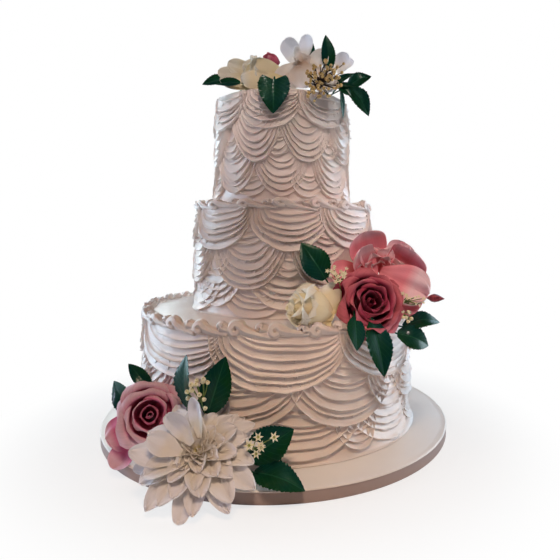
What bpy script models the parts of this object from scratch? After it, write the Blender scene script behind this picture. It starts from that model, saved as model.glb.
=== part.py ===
"""Three-tier buttercream wedding cake on a round cake drum, dressed with foam and silk flowers.

Metres, +Z up. The origin is the centre of the drum's underside and the front of the cake faces -Y.
Each tier is a solid whose side carries overlapping rows of swags, made of nested spatula strokes.
The flowers give way to one another: a piece is trimmed by whatever was put in place before it.
"""
import math
import random
from collections import namedtuple

import bmesh
import bpy
from mathutils import Vector

MM = 0.001
INCH = 0.0254
TURN = 2 * math.pi
GAP = 0.3 * MM                    # clearance between pieces that touch
CLEARANCE = 0.8 * MM              # clearance round the flowers and leaves

# Cake drum: a 16 inch covered board, half an inch thick
DRUM_RADIUS = 8 * INCH
DRUM_THICKNESS = 0.5 * INCH
DRUM_EDGE = 1.0 * MM              # wrapped edge's small chamfer
DRUM_FACETS = 44

# Buttercream on the tiers
ICING = 6.0 * MM                  # thickness over the baked cake, lips of the strokes included
SWAGS = 8                         # swags side by side in one row
STEPS = 6                         # facets across one swag
STROKES = 2                       # strokes nested in one swag
LIP = 2.2 * MM                    # how far a stroke's lower lip stands proud
DROP = 0.9 * MM                   # height of the step under a lip
SAG = 0.85                        # depth of a swag, as a share of the row's height
SKIRT = 4.0 * MM                  # smooth band at the foot of a tier
FOOT_HEIGHT = 25.0 * MM           # height over which a tier spreads to its foot
SHOULDER_IN = 9.0 * MM            # how far the shoulder steps in to seat the piped border

Tier = namedtuple("Tier", "name radius foot shoulder crown centre_x spread first_swag piped")
BOTTOM = Tier("tier_bottom", 6 * INCH + ICING, DRUM_THICKNESS + GAP, 135.3 * MM, 140.0 * MM,
              0.0, 6.0 * MM, math.radians(4), True)
MIDDLE = Tier("tier_middle", 4 * INCH + ICING - 2.6 * MM, BOTTOM.crown + GAP, 258.0 * MM, 262.5 * MM,
              5.0 * MM, 3.0 * MM, math.radians(7), True)
TOP = Tier("tier_top", 3 * INCH + ICING - 1.6 * MM, MIDDLE.crown + GAP, 385.0 * MM, 388.5 * MM,
           3.0 * MM, 3.0 * MM, math.radians(-7), False)
ROWS = 3                          # rows of swags on every tier

# Piped borders on the shoulders of the two lower tiers
BORDER_OUT = 4.0 * MM             # how far a fat shell stands past the tier's side
BORDER_CREST = 12.5 * MM          # height of a fat shell's crest above the shoulder
SHELL_WAIST = 3.0 * MM            # how much slimmer a border is between two shells
BORDER_SHELLS = {BOTTOM: 40, MIDDLE: 18}

# Flower forms: rings from the back of the head to its eye, as shares of the head's radius:
# (radius, height along the axis, petal lobes, quarter turns of the lobes). The stem tapers behind them.
ROSE_RINGS = [(0.30, -0.42, 0.00, 0), (0.80, -0.22, 0.03, 0), (1.00, 0.05, 0.06, 0), (0.82, 0.04, 0.04, 2),
              (0.74, 0.24, 0.06, 2), (0.58, 0.18, 0.04, 0), (0.46, 0.36, 0.05, 0), (0.24, 0.32, 0.00, 0)]
PEONY_RINGS = [(0.30, -0.40, 0.00, 0), (0.84, -0.18, 0.04, 0), (1.00, 0.12, 0.06, 0), (0.86, 0.06, 0.04, 2),
               (0.78, 0.30, 0.06, 2), (0.58, 0.18, 0.04, 0), (0.40, 0.28, 0.08, 0), (0.20, 0.22, 0.00, 0)]
DAHLIA_RINGS = [(0.25, -0.30, 0.00, 0), (0.70, -0.13, 0.03, 0), (1.00, 0.00, 0.10, 0), (0.78, 0.03, 0.04, 2),
                (0.84, 0.10, 0.08, 2), (0.55, 0.12, 0.04, 0), (0.58, 0.19, 0.08, 0), (0.30, 0.20, 0.04, 2)]
OPEN_RINGS = [(0.25, -0.45, 0.00, 0), (0.72, -0.25, 0.05, 0), (1.00, 0.14, 0.09, 0), (0.80, 0.08, 0.05, 0),
              (0.48, 0.26, 0.09, 2), (0.20, 0.22, 0.00, 0)]
BUD_RINGS = [(0.45, -1.50, 0.00, 0), (1.00, -0.60, 0.05, 0), (0.80, 0.60, 0.10, 0)]
HEART_DEPTH = 0.34                # where a flower's stem enters its head, as a share of its radius
FOLIAGE_THICKNESS = 1.4 * MM      # a silk leaf at its wired midrib
LEAF_STATIONS = [(0.03, 0.20), (0.30, 0.86), (0.52, 1.00), (0.78, 0.64)]   # (share of length, of half width)
BUMPS = 0.16                      # unevenness of a sprig's outline

Bloom = namedtuple("Bloom", "name finish rings petals steps radius stem centre axis")
BLOOMS = [
    Bloom("dahlia_white", "petal_white", DAHLIA_RINGS, 12, 2, 56, 42, (-54.5, -196, 41.5), (-0.06, -0.66, 0.75)),
    Bloom("rose_mauve", "petal_mauve", ROSE_RINGS, 5, 3, 37.5, 34, (-118, -142, 46), (0.06, -0.89, 0.43)),
    Bloom("rose_brick", "petal_brick", ROSE_RINGS, 5, 3, 37, 34, (101.5, -119, 157.5), (0.15, -0.85, 0.45)),
    Bloom("rose_cream_ledge", "petal_cream", ROSE_RINGS, 5, 3, 31, 34, (44, -144, 165), (-0.40, -0.78, 0.48)),
    Bloom("peony_coral", "petal_coral", PEONY_RINGS, 6, 3, 53, 60, (118, -81, 190.5), (0.15, -0.80, 0.58)),
    Bloom("rose_cream_top", "petal_cream", ROSE_RINGS, 5, 3, 29, 30, (-33, -45, 408), (0.15, -0.55, 0.82)),
    Bloom("bloom_white", "petal_blush", OPEN_RINGS, 5, 4, 30, 44, (28, -40, 418), (0.15, -0.62, 0.77)),
    Bloom("bud_pink", "petal_pink", BUD_RINGS, 3, 3, 12, 50, (-8, -8, 434), (-0.05, -0.30, 0.95)),
    Bloom("blossom_small", "petal_blush", OPEN_RINGS, 5, 2, 15, 60, (72, -6, 431), (0.45, -0.45, 0.77)),
]

# Sprigs of berries and tiny filler flowers, each one solid out to its uneven outline, with its stem
# drawn out to the root: centre, half sizes, root
Sprig = namedtuple("Sprig", "name finish centre half root")
SPRIGS = [
    Sprig("sprig_foot_berry", "berry_cream", (-56, -180, 88), (10, 6, 13), (-52, -170, 62)),
    Sprig("sprig_foot_star", "filler_star", (3, -197, 49), (16, 7, 14), (-14, -178, 34)),
    Sprig("sprig_ledge_1", "berry_cream", (69, -130, 190), (13, 8, 10), (72, -122, 168)),
    Sprig("sprig_ledge_2", "berry_cream", (145, -114, 163), (13, 7, 8), (128, -104, 160)),
    Sprig("sprig_ledge_3", "berry_cream", (140, -114, 147), (7, 6, 7), (128, -108, 152)),
    Sprig("sprig_top_gold", "berry_gold", (53, -70, 402), (22, 14, 16), (40, -50, 392)),
    Sprig("pod_ledge", "petal_brick", (180, -78, 156.5), (6, 3.5, 3), (158, -86, 166)),
]

# Leaves: where the wire goes in, the blade's base and tip, its width, the way its upper face looks, and
# how far its middle arches that way
Leaf = namedtuple("Leaf", "name root base tip width face arch")
LEAVES = [
    Leaf("leaf_foot_1", (-124, -130, 36), (-136, -121, 47), (-163, -103, 74), 22, (-0.3, -0.8, 0.3), 3),
    Leaf("leaf_foot_2", (-108, -133, 50), (-114, -128, 64), (-144, -114, 95), 22, (0.2, -0.8, 0.4), 3),
    Leaf("leaf_foot_3", (-72, -163, 58), (-76, -167, 72), (-78, -163, 116), 26, (-0.4, -0.8, 0.5), 3),
    Leaf("leaf_foot_4", (-50, -168, 52), (-47, -173, 66), (-33, -169, 117), 27, (0.1, -0.9, 0.2), 2),
    Leaf("leaf_foot_5", (-24, -176, 24), (-12, -180, 30), (28, -180, 56), 32, (0.2, -0.8, 0.4), 3),
    Leaf("leaf_foot_6", (-22, -184, 22), (-6, -190, 22), (39, -207, 15), 28, (0.1, -0.5, 0.85), 5),
    Leaf("leaf_ledge_1", (68, -124, 168), (56, -124, 184), (31, -120, 220), 29, (0.1, -0.9, 0.3), 3),
    Leaf("leaf_ledge_2", (99, -138, 147), (103, -146, 137), (112, -148, 94), 28, (0.4, -0.8, 0.1), 2),
    Leaf("leaf_ledge_3", (84, -142, 156), (81, -155, 146), (85, -157, 122), 19, (0.3, -0.9, 0.1), 1),
    Leaf("leaf_ledge_4", (122, -104, 151), (138, -98, 132), (179, -88, 135), 20, (0.0, -0.7, 0.7), 9),
    Leaf("leaf_ledge_5", (116, -114, 151), (130, -110, 127), (164, -102, 113), 26, (0.1, -0.8, 0.6), 5),
    Leaf("leaf_top_1", (-1, -66, 397), (-0.5, -85, 394), (-1, -89, 357), 34, (0.0, -1.0, 0.1), 1),
    Leaf("leaf_top_2", (58, -44, 390), (59, -46, 416), (55, -46, 458), 17, (0.3, -0.9, 0.1), 2),
    Leaf("leaf_top_3", (60, -26, 393), (84, -22, 406), (109, -22, 413), 19, (0.2, -0.6, 0.8), 4),
    Leaf("leaf_top_4", (62, -30, 392), (86, -32, 397), (103, -37, 365), 20, (0.6, -0.7, 0.4), 4),
    Leaf("leaf_top_5", (64, -46, 392), (72, -57, 394), (75, -62, 357), 9, (0.8, -0.6, 0.0), 1),
    Leaf("leaf_top_6", (-44, -34, 396), (-63, -32, 408), (-87, -37, 405), 17, (-0.1, -0.5, 0.8), 2),
    Leaf("leaf_top_7", (-30, -62, 392), (-36, -78, 392), (-57, -73, 387), 10, (-0.2, -0.7, 0.6), 1),
    Leaf("leaf_top_8", (36, -14, 392), (39, -16, 428), (38, -24, 462), 9, (0.2, -0.9, 0.1), 1),
]

FINISHES = {
    "icing": ((0.80, 0.74, 0.70), 0.55),
    "drum_wrap": ((0.83, 0.78, 0.76), 0.45),
    "petal_white": ((0.86, 0.82, 0.76), 0.70),
    "petal_mauve": ((0.55, 0.24, 0.27), 0.70),
    "petal_brick": ((0.42, 0.11, 0.11), 0.70),
    "petal_coral": ((0.66, 0.28, 0.28), 0.65),
    "petal_cream": ((0.80, 0.71, 0.52), 0.70),
    "petal_blush": ((0.86, 0.80, 0.78), 0.60),
    "petal_pink": ((0.58, 0.14, 0.22), 0.60),
    "leaf_green": ((0.02, 0.10, 0.07), 0.40),
    "berry_cream": ((0.78, 0.72, 0.55), 0.50),
    "berry_gold": ((0.66, 0.54, 0.30), 0.50),
    "filler_star": ((0.74, 0.76, 0.58), 0.60),
}


def clear_scene():
    for item in list(bpy.data.objects):
        bpy.data.objects.remove(item)


def finish(name):
    """The Principled material of one finish, made once."""
    found = bpy.data.materials.get(name)
    if found:
        return found
    colour, roughness = FINISHES[name]
    material = bpy.data.materials.new(name)
    material.use_nodes = True
    shader = material.node_tree.nodes["Principled BSDF"]
    shader.inputs["Base Color"].default_value = (*colour, 1.0)
    shader.inputs["Roughness"].default_value = roughness
    shader.inputs["Metallic"].default_value = 0.0
    return material


def loft(name, rings, finish_name, joined_ends=False):
    """One closed body skinned over rings of points. A ring of one point is a pole."""
    mesh = bpy.data.meshes.new(name)
    shape = bmesh.new()
    made = [[shape.verts.new(point) for point in ring] for ring in rings]
    pairs = list(zip(made, made[1:]))
    if joined_ends:
        pairs.append((made[-1], made[0]))
    for lower, upper in pairs:
        count = max(len(lower), len(upper))
        for i in range(count):
            j = (i + 1) % count
            corners = [lower[i % len(lower)], lower[j % len(lower)], upper[j % len(upper)], upper[i % len(upper)]]
            shape.faces.new(list(dict.fromkeys(corners)))
    if not joined_ends:
        for end in (made[0], made[-1]):
            if len(end) > 1:
                shape.faces.new(end)
    bmesh.ops.recalc_face_normals(shape, faces=shape.faces)
    bmesh.ops.triangulate(shape, faces=shape.faces)
    shape.to_mesh(mesh)
    shape.free()
    mesh.shade_smooth()
    mesh.set_sharp_from_angle(angle=math.radians(35))
    mesh.materials.append(finish(finish_name))
    piece = bpy.data.objects.new(name, mesh)
    bpy.context.scene.collection.objects.link(piece)
    return piece


def around(radius, angle, height, centre_x=0.0):
    """A point round a vertical axis: angle 0 is the front of the cake, and it grows to the right."""
    return Vector((centre_x + radius * math.sin(angle), -radius * math.cos(angle), height))


def circle(radius, height, count, centre_x=0.0, start=0.0):
    return [around(radius, start + TURN * i / count, height, centre_x) for i in range(count)]


def make_drum():
    inner = DRUM_RADIUS - DRUM_EDGE
    profile = [(inner, 0.0), (DRUM_RADIUS, DRUM_EDGE), (DRUM_RADIUS, DRUM_THICKNESS - DRUM_EDGE),
               (inner, DRUM_THICKNESS)]
    return loft("cake_drum", [circle(r, z, DRUM_FACETS) for r, z in profile], "drum_wrap")


def lip_height(tier, row, angle):
    """Height of a row's lower lip at an angle. Row -1 is the shoulder, and odd rows sit half a swag on."""
    if row < 0:
        return tier.shoulder
    pitch = (tier.shoulder - tier.foot - SKIRT) / ROWS
    place = (angle - tier.first_swag) / (TURN / SWAGS) + 0.5 * (row % 2)
    across = 2 * (place - round(place))
    return tier.shoulder - pitch * (row + 1) + SAG * pitch * across ** 2


def side_radius(tier, height):
    """Radius of a tier's side under the lips, which spreads towards its foot."""
    low = max(0.0, 1 - (height - tier.foot) / FOOT_HEIGHT)
    return tier.radius - LIP + tier.spread * low ** 2


def stroke_edge(tier, row, share, proud, drop):
    """The line round a tier at one stroke's edge, between the lips of two rows."""
    line = []
    for i in range(SWAGS * STEPS):
        angle = tier.first_swag + TURN * i / (SWAGS * STEPS)
        above = lip_height(tier, row - 1, angle)
        below = lip_height(tier, row, angle)
        height = above + (below - above) * share - drop
        line.append(around(side_radius(tier, height) + proud, angle, height, tier.centre_x))
    return line


def make_tier(tier):
    count = SWAGS * STEPS
    start = tier.first_swag
    inset = SHOULDER_IN if tier.piped else 3 * LIP
    rings = [circle(tier.radius - inset, tier.crown, count, tier.centre_x, start)]
    if tier.piped:
        rings.append(circle(tier.radius - inset, tier.shoulder, count, tier.centre_x, start))
    rings.append(circle(tier.radius - LIP, tier.shoulder, count, tier.centre_x, start))
    for row in range(ROWS):
        for stroke in range(STROKES):
            share = (stroke + 1) / STROKES
            rings.append(stroke_edge(tier, row, share, LIP, 0.0))
            rings.append(stroke_edge(tier, row, share, 0.0, DROP))
    foot_radius = side_radius(tier, tier.foot)
    rings.append(circle(foot_radius, tier.foot, count, tier.centre_x, start))
    return loft(tier.name, rings, "icing")


def make_border(tier, shells):
    """A ring of piped shells, fat and slim by turns, seated on the tier's shoulder."""
    inner = (tier.radius - SHOULDER_IN + GAP) / math.cos(0.5 * TURN / (2 * shells))
    low = tier.shoulder + GAP
    rings = []
    for i in range(2 * shells):
        angle = TURN * i / (2 * shells)
        slim = SHELL_WAIST * (i % 2)
        outer = tier.radius + BORDER_OUT - slim
        crest = low + BORDER_CREST - slim
        section = [(inner, low), (outer, low + 0.2 * BORDER_CREST), (0.5 * (inner + outer), crest),
                   (inner, low + 0.6 * BORDER_CREST)]
        rings.append([around(r, angle, z, tier.centre_x) for r, z in section])
    return loft(tier.name.replace("tier", "border"), rings, "icing", joined_ends=True)


def make_bloom(bloom):
    """A flower head: rings about its axis, lobed by its petals, from its back to its eye."""
    axis = Vector(bloom.axis).normalized()
    side = axis.cross(Vector((0, 0, 1))).normalized()
    up = side.cross(axis)
    centre = Vector(bloom.centre) * MM
    radius = bloom.radius * MM
    count = bloom.petals * bloom.steps
    rings = [[centre - axis * bloom.stem * MM]]
    for share, height, lobes, quarter in bloom.rings:
        ring = []
        for i in range(count):
            angle = TURN * i / count
            reach = radius * share * (1 + lobes * math.cos(bloom.petals * angle + quarter * math.pi / 2))
            ring.append(centre + side * reach * math.cos(angle) + up * reach * math.sin(angle)
                        + axis * radius * height)
        rings.append(ring)
    rings.append([centre + axis * radius * (bloom.rings[-1][1] + 0.06)])
    return loft(bloom.name, rings, bloom.finish)


def make_sprig(sprig, source):
    """A cluster of berries or filler flowers, as one lumpy solid with its stem drawn out to the root."""
    mesh = bpy.data.meshes.new(sprig.name)
    shape = bmesh.new()
    bmesh.ops.create_icosphere(shape, subdivisions=2, radius=1.0)
    for vert in shape.verts:
        reach = 1 + source.uniform(-BUMPS, BUMPS)
        vert.co = Vector([(c + h * n * reach) * MM for c, h, n in zip(sprig.centre, sprig.half, vert.co)])
    root = Vector(sprig.root) * MM
    stem = min(shape.verts, key=lambda vert: (vert.co - root).length)
    stem.co = root
    shape.to_mesh(mesh)
    shape.free()
    mesh.materials.append(finish(sprig.finish))
    piece = bpy.data.objects.new(sprig.name, mesh)
    bpy.context.scene.collection.objects.link(piece)
    return piece


def make_leaf(leaf):
    """A wired silk leaf: a thin closed blade, pointed at both ends, folded up a little along its midrib."""
    base = Vector(leaf.base) * MM
    tip = Vector(leaf.tip) * MM
    along = (tip - base).normalized()
    face = Vector(leaf.face)
    face = (face - along * face.dot(along)).normalized()
    across = face.cross(along)
    half = 0.5 * leaf.width * MM
    fold = 0.22 * half
    rings = [[Vector(leaf.root) * MM]]
    for share, width in LEAF_STATIONS:
        middle = base.lerp(tip, share) + face * leaf.arch * MM * math.sin(math.pi * share)
        edge = across * half * width
        rings.append([middle - edge + face * fold * width, middle + face * 0.5 * FOLIAGE_THICKNESS,
                      middle + edge + face * fold * width, middle - face * 0.5 * FOLIAGE_THICKNESS])
    rings.append([tip])
    return loft(leaf.name, rings, "leaf_green")


def box_of(piece):
    points = [vert.co for vert in piece.data.vertices]
    low = Vector([min(p[k] for p in points) for k in range(3)])
    high = Vector([max(p[k] for p in points) for k in range(3)])
    return low, high


def boxes_meet(piece, other):
    low, high = box_of(piece)
    other_low, other_high = box_of(other)
    return all(low[k] < other_high[k] + GAP and other_low[k] < high[k] + GAP for k in range(3))


def grown(piece, heart=None):
    """A hidden cutter a little larger than a piece: faces move out from its heart, or along their normals."""
    mesh = piece.data.copy()
    shape = bmesh.new()
    shape.from_mesh(mesh)
    shape.normal_update()
    ways = [(vert.co - heart).normalized() if heart else vert.normal.copy() for vert in shape.verts]
    for vert, way in zip(shape.verts, ways):
        vert.co += way * CLEARANCE
    shape.to_mesh(mesh)
    shape.free()
    cutter = bpy.data.objects.new(piece.name + "_clearance", mesh)
    bpy.context.scene.collection.objects.link(cutter)
    cutter.hide_render = True
    cutter.display_type = "WIRE"
    return cutter


def guard(name, profile, centre_x):
    """A hidden cutter round a tier or the drum, which keeps the flowers off the icing."""
    cutter = loft(name, [circle(r, z, DRUM_FACETS, centre_x) for r, z in profile], "icing")
    cutter.hide_render = True
    cutter.display_type = "WIRE"
    return cutter


def tier_guards():
    """Cutters just larger than the drum and the tiers, borders included."""
    reach = DRUM_RADIUS + 2 * GAP
    guards = [guard("drum_clearance", [(reach, -GAP), (reach, DRUM_THICKNESS + GAP)], 0.0)]
    for tier in (BOTTOM, MIDDLE, TOP):
        side = tier.radius + 2 * GAP
        foot = side_radius(tier, tier.foot) + LIP + 2 * GAP
        crest = tier.shoulder + BORDER_CREST + 2 * GAP if tier.piped else tier.crown + GAP
        rim = side + BORDER_OUT if tier.piped else side
        profile = [(foot, tier.foot - GAP), (side, tier.foot + FOOT_HEIGHT), (side, tier.shoulder - GAP),
                   (rim, tier.shoulder), (rim, crest)]
        guards.append(guard(tier.name + "_clearance", profile, tier.centre_x))
    return guards


def keep_largest_part(mesh):
    """Deletes the crumbs that trimming leaves, so that one closed body stays."""
    shape = bmesh.new()
    shape.from_mesh(mesh)
    left = set(shape.verts)
    parts = []
    while left:
        part = set()
        edge = [left.pop()]
        while edge:
            vert = edge.pop()
            part.add(vert)
            for link in vert.link_edges:
                other = link.other_vert(vert)
                if other in left:
                    left.discard(other)
                    edge.append(other)
        parts.append(part)
    parts.sort(key=len)
    for part in parts[:-1]:
        bmesh.ops.delete(shape, geom=list(part), context="VERTS")
    shape.to_mesh(mesh)
    shape.free()


def settle(piece, cutters, heart=None):
    """Trims a piece where it presses into what is in place, and adds its own clearance for the pieces to come."""
    own = grown(piece, heart)
    for cutter in cutters:
        if not boxes_meet(piece, cutter):
            continue
        cut = piece.modifiers.new(cutter.name, "BOOLEAN")
        cut.operation = "DIFFERENCE"
        cut.object = cutter
        bpy.context.view_layer.update()
        evaluated = piece.evaluated_get(bpy.context.evaluated_depsgraph_get())
        trimmed = bpy.data.meshes.new_from_object(evaluated)
        piece.modifiers.clear()
        piece.data = trimmed
        keep_largest_part(piece.data)
    cutters.append(own)


clear_scene()
make_drum()
for tier in (BOTTOM, MIDDLE, TOP):
    make_tier(tier)
for tier, shells in BORDER_SHELLS.items():
    make_border(tier, shells)

cutters = tier_guards()
seeded = random.Random(7)
for bloom in BLOOMS:
    heart = Vector(bloom.centre) - Vector(bloom.axis).normalized() * bloom.radius * HEART_DEPTH
    settle(make_bloom(bloom), cutters, heart * MM)
for sprig in SPRIGS:
    settle(make_sprig(sprig, seeded), cutters, Vector(sprig.centre) * MM)
for leaf in LEAVES:
    settle(make_leaf(leaf), cutters)
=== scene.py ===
import math
from collections import namedtuple

import bpy
import numpy as np
from mathutils import Matrix, Vector, noise


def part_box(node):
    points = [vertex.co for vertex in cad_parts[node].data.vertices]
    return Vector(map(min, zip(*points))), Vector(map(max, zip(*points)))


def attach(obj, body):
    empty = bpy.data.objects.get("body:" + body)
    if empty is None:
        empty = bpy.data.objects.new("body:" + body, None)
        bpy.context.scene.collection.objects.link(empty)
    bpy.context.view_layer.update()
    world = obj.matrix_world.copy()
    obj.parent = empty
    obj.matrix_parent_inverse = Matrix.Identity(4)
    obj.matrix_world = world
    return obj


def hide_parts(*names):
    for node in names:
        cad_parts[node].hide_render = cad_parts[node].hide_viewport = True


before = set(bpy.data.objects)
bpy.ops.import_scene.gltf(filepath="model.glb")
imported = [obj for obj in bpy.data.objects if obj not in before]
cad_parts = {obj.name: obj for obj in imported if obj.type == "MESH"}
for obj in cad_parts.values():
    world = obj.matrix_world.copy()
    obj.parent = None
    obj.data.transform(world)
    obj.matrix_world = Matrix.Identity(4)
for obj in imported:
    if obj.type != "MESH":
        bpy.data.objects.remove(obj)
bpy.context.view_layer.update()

# ---------------------------------------------------------------------------------------------
# Cake drum. A 12.7 mm foam board wrapped in white satin paper: the paper is drawn over the top,
# creased at both edges and glued under the board, so the edge catches a thin line of light.

MM = 0.001
DRUM_SEGMENTS = 192
drum_low, drum_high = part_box("cake_drum")
drum_radius = (drum_high.x - drum_low.x) / 2
drum_top = drum_high.z


def add_node(tree, kind, values=None, **settings):
    """Adds a node with its own settings; values gives its inputs a number or another node's output."""
    added = tree.nodes.new(kind)
    for setting, value in settings.items():
        setattr(added, setting, value)
    for socket, value in (values or {}).items():
        if isinstance(value, bpy.types.NodeSocket):
            tree.links.new(value, added.inputs[socket])
        else:
            added.inputs[socket].default_value = value
    return added


def colour(code):
    """A six-digit sRGB hex colour as linear red, green, blue and alpha."""
    parts = [int(code[at:at + 2], 16) / 255 for at in (1, 3, 5)]
    linear = [p / 12.92 if p <= 0.04045 else ((p + 0.055) / 1.055) ** 2.4 for p in parts]
    return (*linear, 1.0)


def start_material(name, **constants):
    """A new material, its node tree and its shader, with the constant shader values set."""
    material = bpy.data.materials.new(name)
    material.use_nodes = True
    tree = material.node_tree
    shader = tree.nodes["Principled BSDF"]
    for socket, value in constants.items():
        shader.inputs[socket.replace("_", " ")].default_value = value
    return material, tree, shader


def add_piece(name, vertices, faces, material, smooth_angle=None):
    """A mesh object of the cake, at the origin, shaded smooth but for edges sharper than the angle."""
    mesh = bpy.data.meshes.new(name)
    mesh.from_pydata([tuple(v) for v in vertices], [], [tuple(f) for f in faces])
    mesh.materials.append(material)
    mesh.shade_smooth()
    if smooth_angle:
        mesh.set_sharp_from_angle(angle=math.radians(smooth_angle))
    piece = bpy.data.objects.new(name, mesh)
    bpy.context.scene.collection.objects.link(piece)
    return piece


def turn(outline, segments, centre_x=0.0, wave=None):
    """Turns an outline of (radius, height), from the axis below to the axis above, into a closed skin."""
    vertices = [(centre_x, 0, outline[0][1])]
    faces = []
    rings = outline[1:-1]
    for radius, height in rings:
        for step in range(segments):
            angle = 2 * math.pi * step / segments
            r = radius + (wave(angle, height) if wave else 0)
            vertices.append((centre_x + r * math.sin(angle), -r * math.cos(angle), height))
    vertices.append((centre_x, 0, outline[-1][1]))
    last = len(vertices) - 1
    for step in range(segments):
        after = (step + 1) % segments
        faces.append((0, 1 + after, 1 + step))
        for ring in range(len(rings) - 1):
            a = 1 + ring * segments
            b = a + segments
            faces.append((a + step, a + after, b + after, b + step))
        top = 1 + (len(rings) - 1) * segments
        faces.append((top + step, top + after, last))
    return vertices, faces


# Satin-coated paper: white and smooth, with a soft broad gloss and faint waves where it is glued.
satin_paper, tree, shader = start_material("satin coated drum paper", Roughness=0.38, IOR=1.46)
coords = add_node(tree, "ShaderNodeTexCoord")
waves = add_node(tree, "ShaderNodeTexNoise", {"Vector": coords.outputs["Object"], "Scale": 1 / (60 * MM)})
fibre = add_node(tree, "ShaderNodeTexNoise", {"Vector": coords.outputs["Object"], "Scale": 1 / (0.8 * MM)})
tint = add_node(tree, "ShaderNodeValToRGB", {"Fac": waves.outputs["Fac"]})
tint.color_ramp.elements[0].color = colour("#EDE6DF")
tint.color_ramp.elements[1].color = colour("#F7F3EE")
# The side is painted a darker taupe up to 1.5 mm under the top: painted shade for a side that stays in shadow.
height = add_node(tree, "ShaderNodeSeparateXYZ", {"Vector": coords.outputs["Object"]})
above = add_node(tree, "ShaderNodeMapRange", {"Value": height.outputs["Z"], "From Min": drum_top - 1.8 * MM,
                                              "From Max": drum_top - 1.2 * MM})
painted_shade_side = add_node(tree, "ShaderNodeMix", {"Factor": above.outputs[0], "A": colour("#AC9A96"), "B": tint.outputs["Color"]},
                  data_type="RGBA")
rise = add_node(tree, "ShaderNodeMath", {0: waves.outputs["Fac"], 1: fibre.outputs["Fac"]}, operation="ADD")
relief = add_node(tree, "ShaderNodeBump", {"Height": rise.outputs[0], "Strength": 0.12, "Distance": 0.3 * MM})
tree.links.new(painted_shade_side.outputs["Result"], shader.inputs["Base Color"])
tree.links.new(relief.outputs["Normal"], shader.inputs["Normal"])

# The outline: under side, rounded lower crease, side, a fold of paper that stands 0.3 mm proud, top.
crease = 1.4 * MM
outline = [(0, 0), (drum_radius - 12 * MM, 0)]
for step in range(7):
    turned = math.radians(-90 + 15 * step)
    outline.append((drum_radius - 0.4 * MM - crease + crease * math.cos(turned), crease + crease * math.sin(turned)))
outline.append((drum_radius - 0.4 * MM, drum_top - 3.2 * MM))
for step in range(9):
    turned = math.radians(-60 + 20 * step)
    outline.append((drum_radius - 1.3 * MM + 1.3 * MM * math.cos(turned), drum_top - 1.3 * MM + 1.3 * MM * math.sin(turned)))
outline += [(drum_radius - 3.4 * MM, drum_top - 0.35 * MM), (drum_radius - 8 * MM, drum_top - 0.3 * MM)]
outline += [(drum_radius * share, drum_top - 0.3 * MM) for share in (0.8, 0.5)] + [(0, drum_top - 0.3 * MM)]
drum_wrap = add_piece("drum_wrap", *turn(outline, DRUM_SEGMENTS), satin_paper, 50)
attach(drum_wrap, "root")
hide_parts("cake_drum")

# ---------------------------------------------------------------------------------------------
# The three tiers. Each is a round cake under one coat of buttercream, into which swags are drawn
# with the tip of a small spatula: nested U-shaped strokes, each lip proud of the stroke below it,
# worked from the foot up, so that every row hangs over the one under it like roof tiles.

Tier = namedtuple("Tier", "name radius spread shoulder rows")

FOOT_SPREAD_HEIGHT = 25 * MM         # height over which a tier spreads to its foot
COAT = 2.4 * MM                      # how far the lips stand out from the coat under them
LIP = 3.0 * MM                       # a stroke's own lip
TILT = 1.8 * MM                      # how far the foot of a swag stands out more than its head
SUNK = 2.2 * MM                      # how deep a swag's edges and back are set in the coat
ALONG = 48                           # steps along a stroke

# One row of swags: the middles' angles, half the width, the height of head and foot, its kind.
# Angle 0 is the front and grows to the right. Rows go from the foot up.
def ring_of(first, *more):
    """Angles of one row: those given for the front, then even steps round the back."""
    angles = [first, *more]
    pitch = (360 - (angles[-1] - angles[0])) / (9 - len(angles))
    return angles + [angles[-1] + pitch * step for step in range(1, 9 - len(angles))]


TIERS = [
    Tier("tier_bottom", 158.4, 6.0, 135.3, [
        ("tile", ring_of(-30, 13, 54), 22, 66, 15), ("tile", ring_of(-12, 34, 74), 9, 46, 19),
        ("tile", ring_of(-58, -10, 30), 23, 108, 44), ("tile", ring_of(-24, 51, 92), 12, 104, 50),
        ("rim", ring_of(-40, 4, 49), 24, 134.5, 84)]),
    Tier("tier_middle", 105.0, 3.0, 258.0, [
        ("tile", ring_of(-14, 31, 76), 21, 176, 140), ("tile", ring_of(-42, 6, 52), 22, 206, 151),
        ("tile", ring_of(-38, 8, 40), 9, 214, 184), ("tile", ring_of(-62, -17, 30), 23, 238, 171),
        ("rim", ring_of(-40, 7, 50), 24, 257.5, 211)]),
    Tier("tier_top", 80.6, 3.0, 385.0, [
        ("tile", ring_of(-20, 25, 72), 15, 300, 268), ("tile", ring_of(-40, 2, 52), 23, 336, 271),
        ("tile", ring_of(-42, 1, 44), 10, 340, 312), ("tile", ring_of(-20, 22, 65), 22, 378, 308),
        ("rim", ring_of(-52, -7, 40), 24, 386, 344)]),
]


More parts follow.
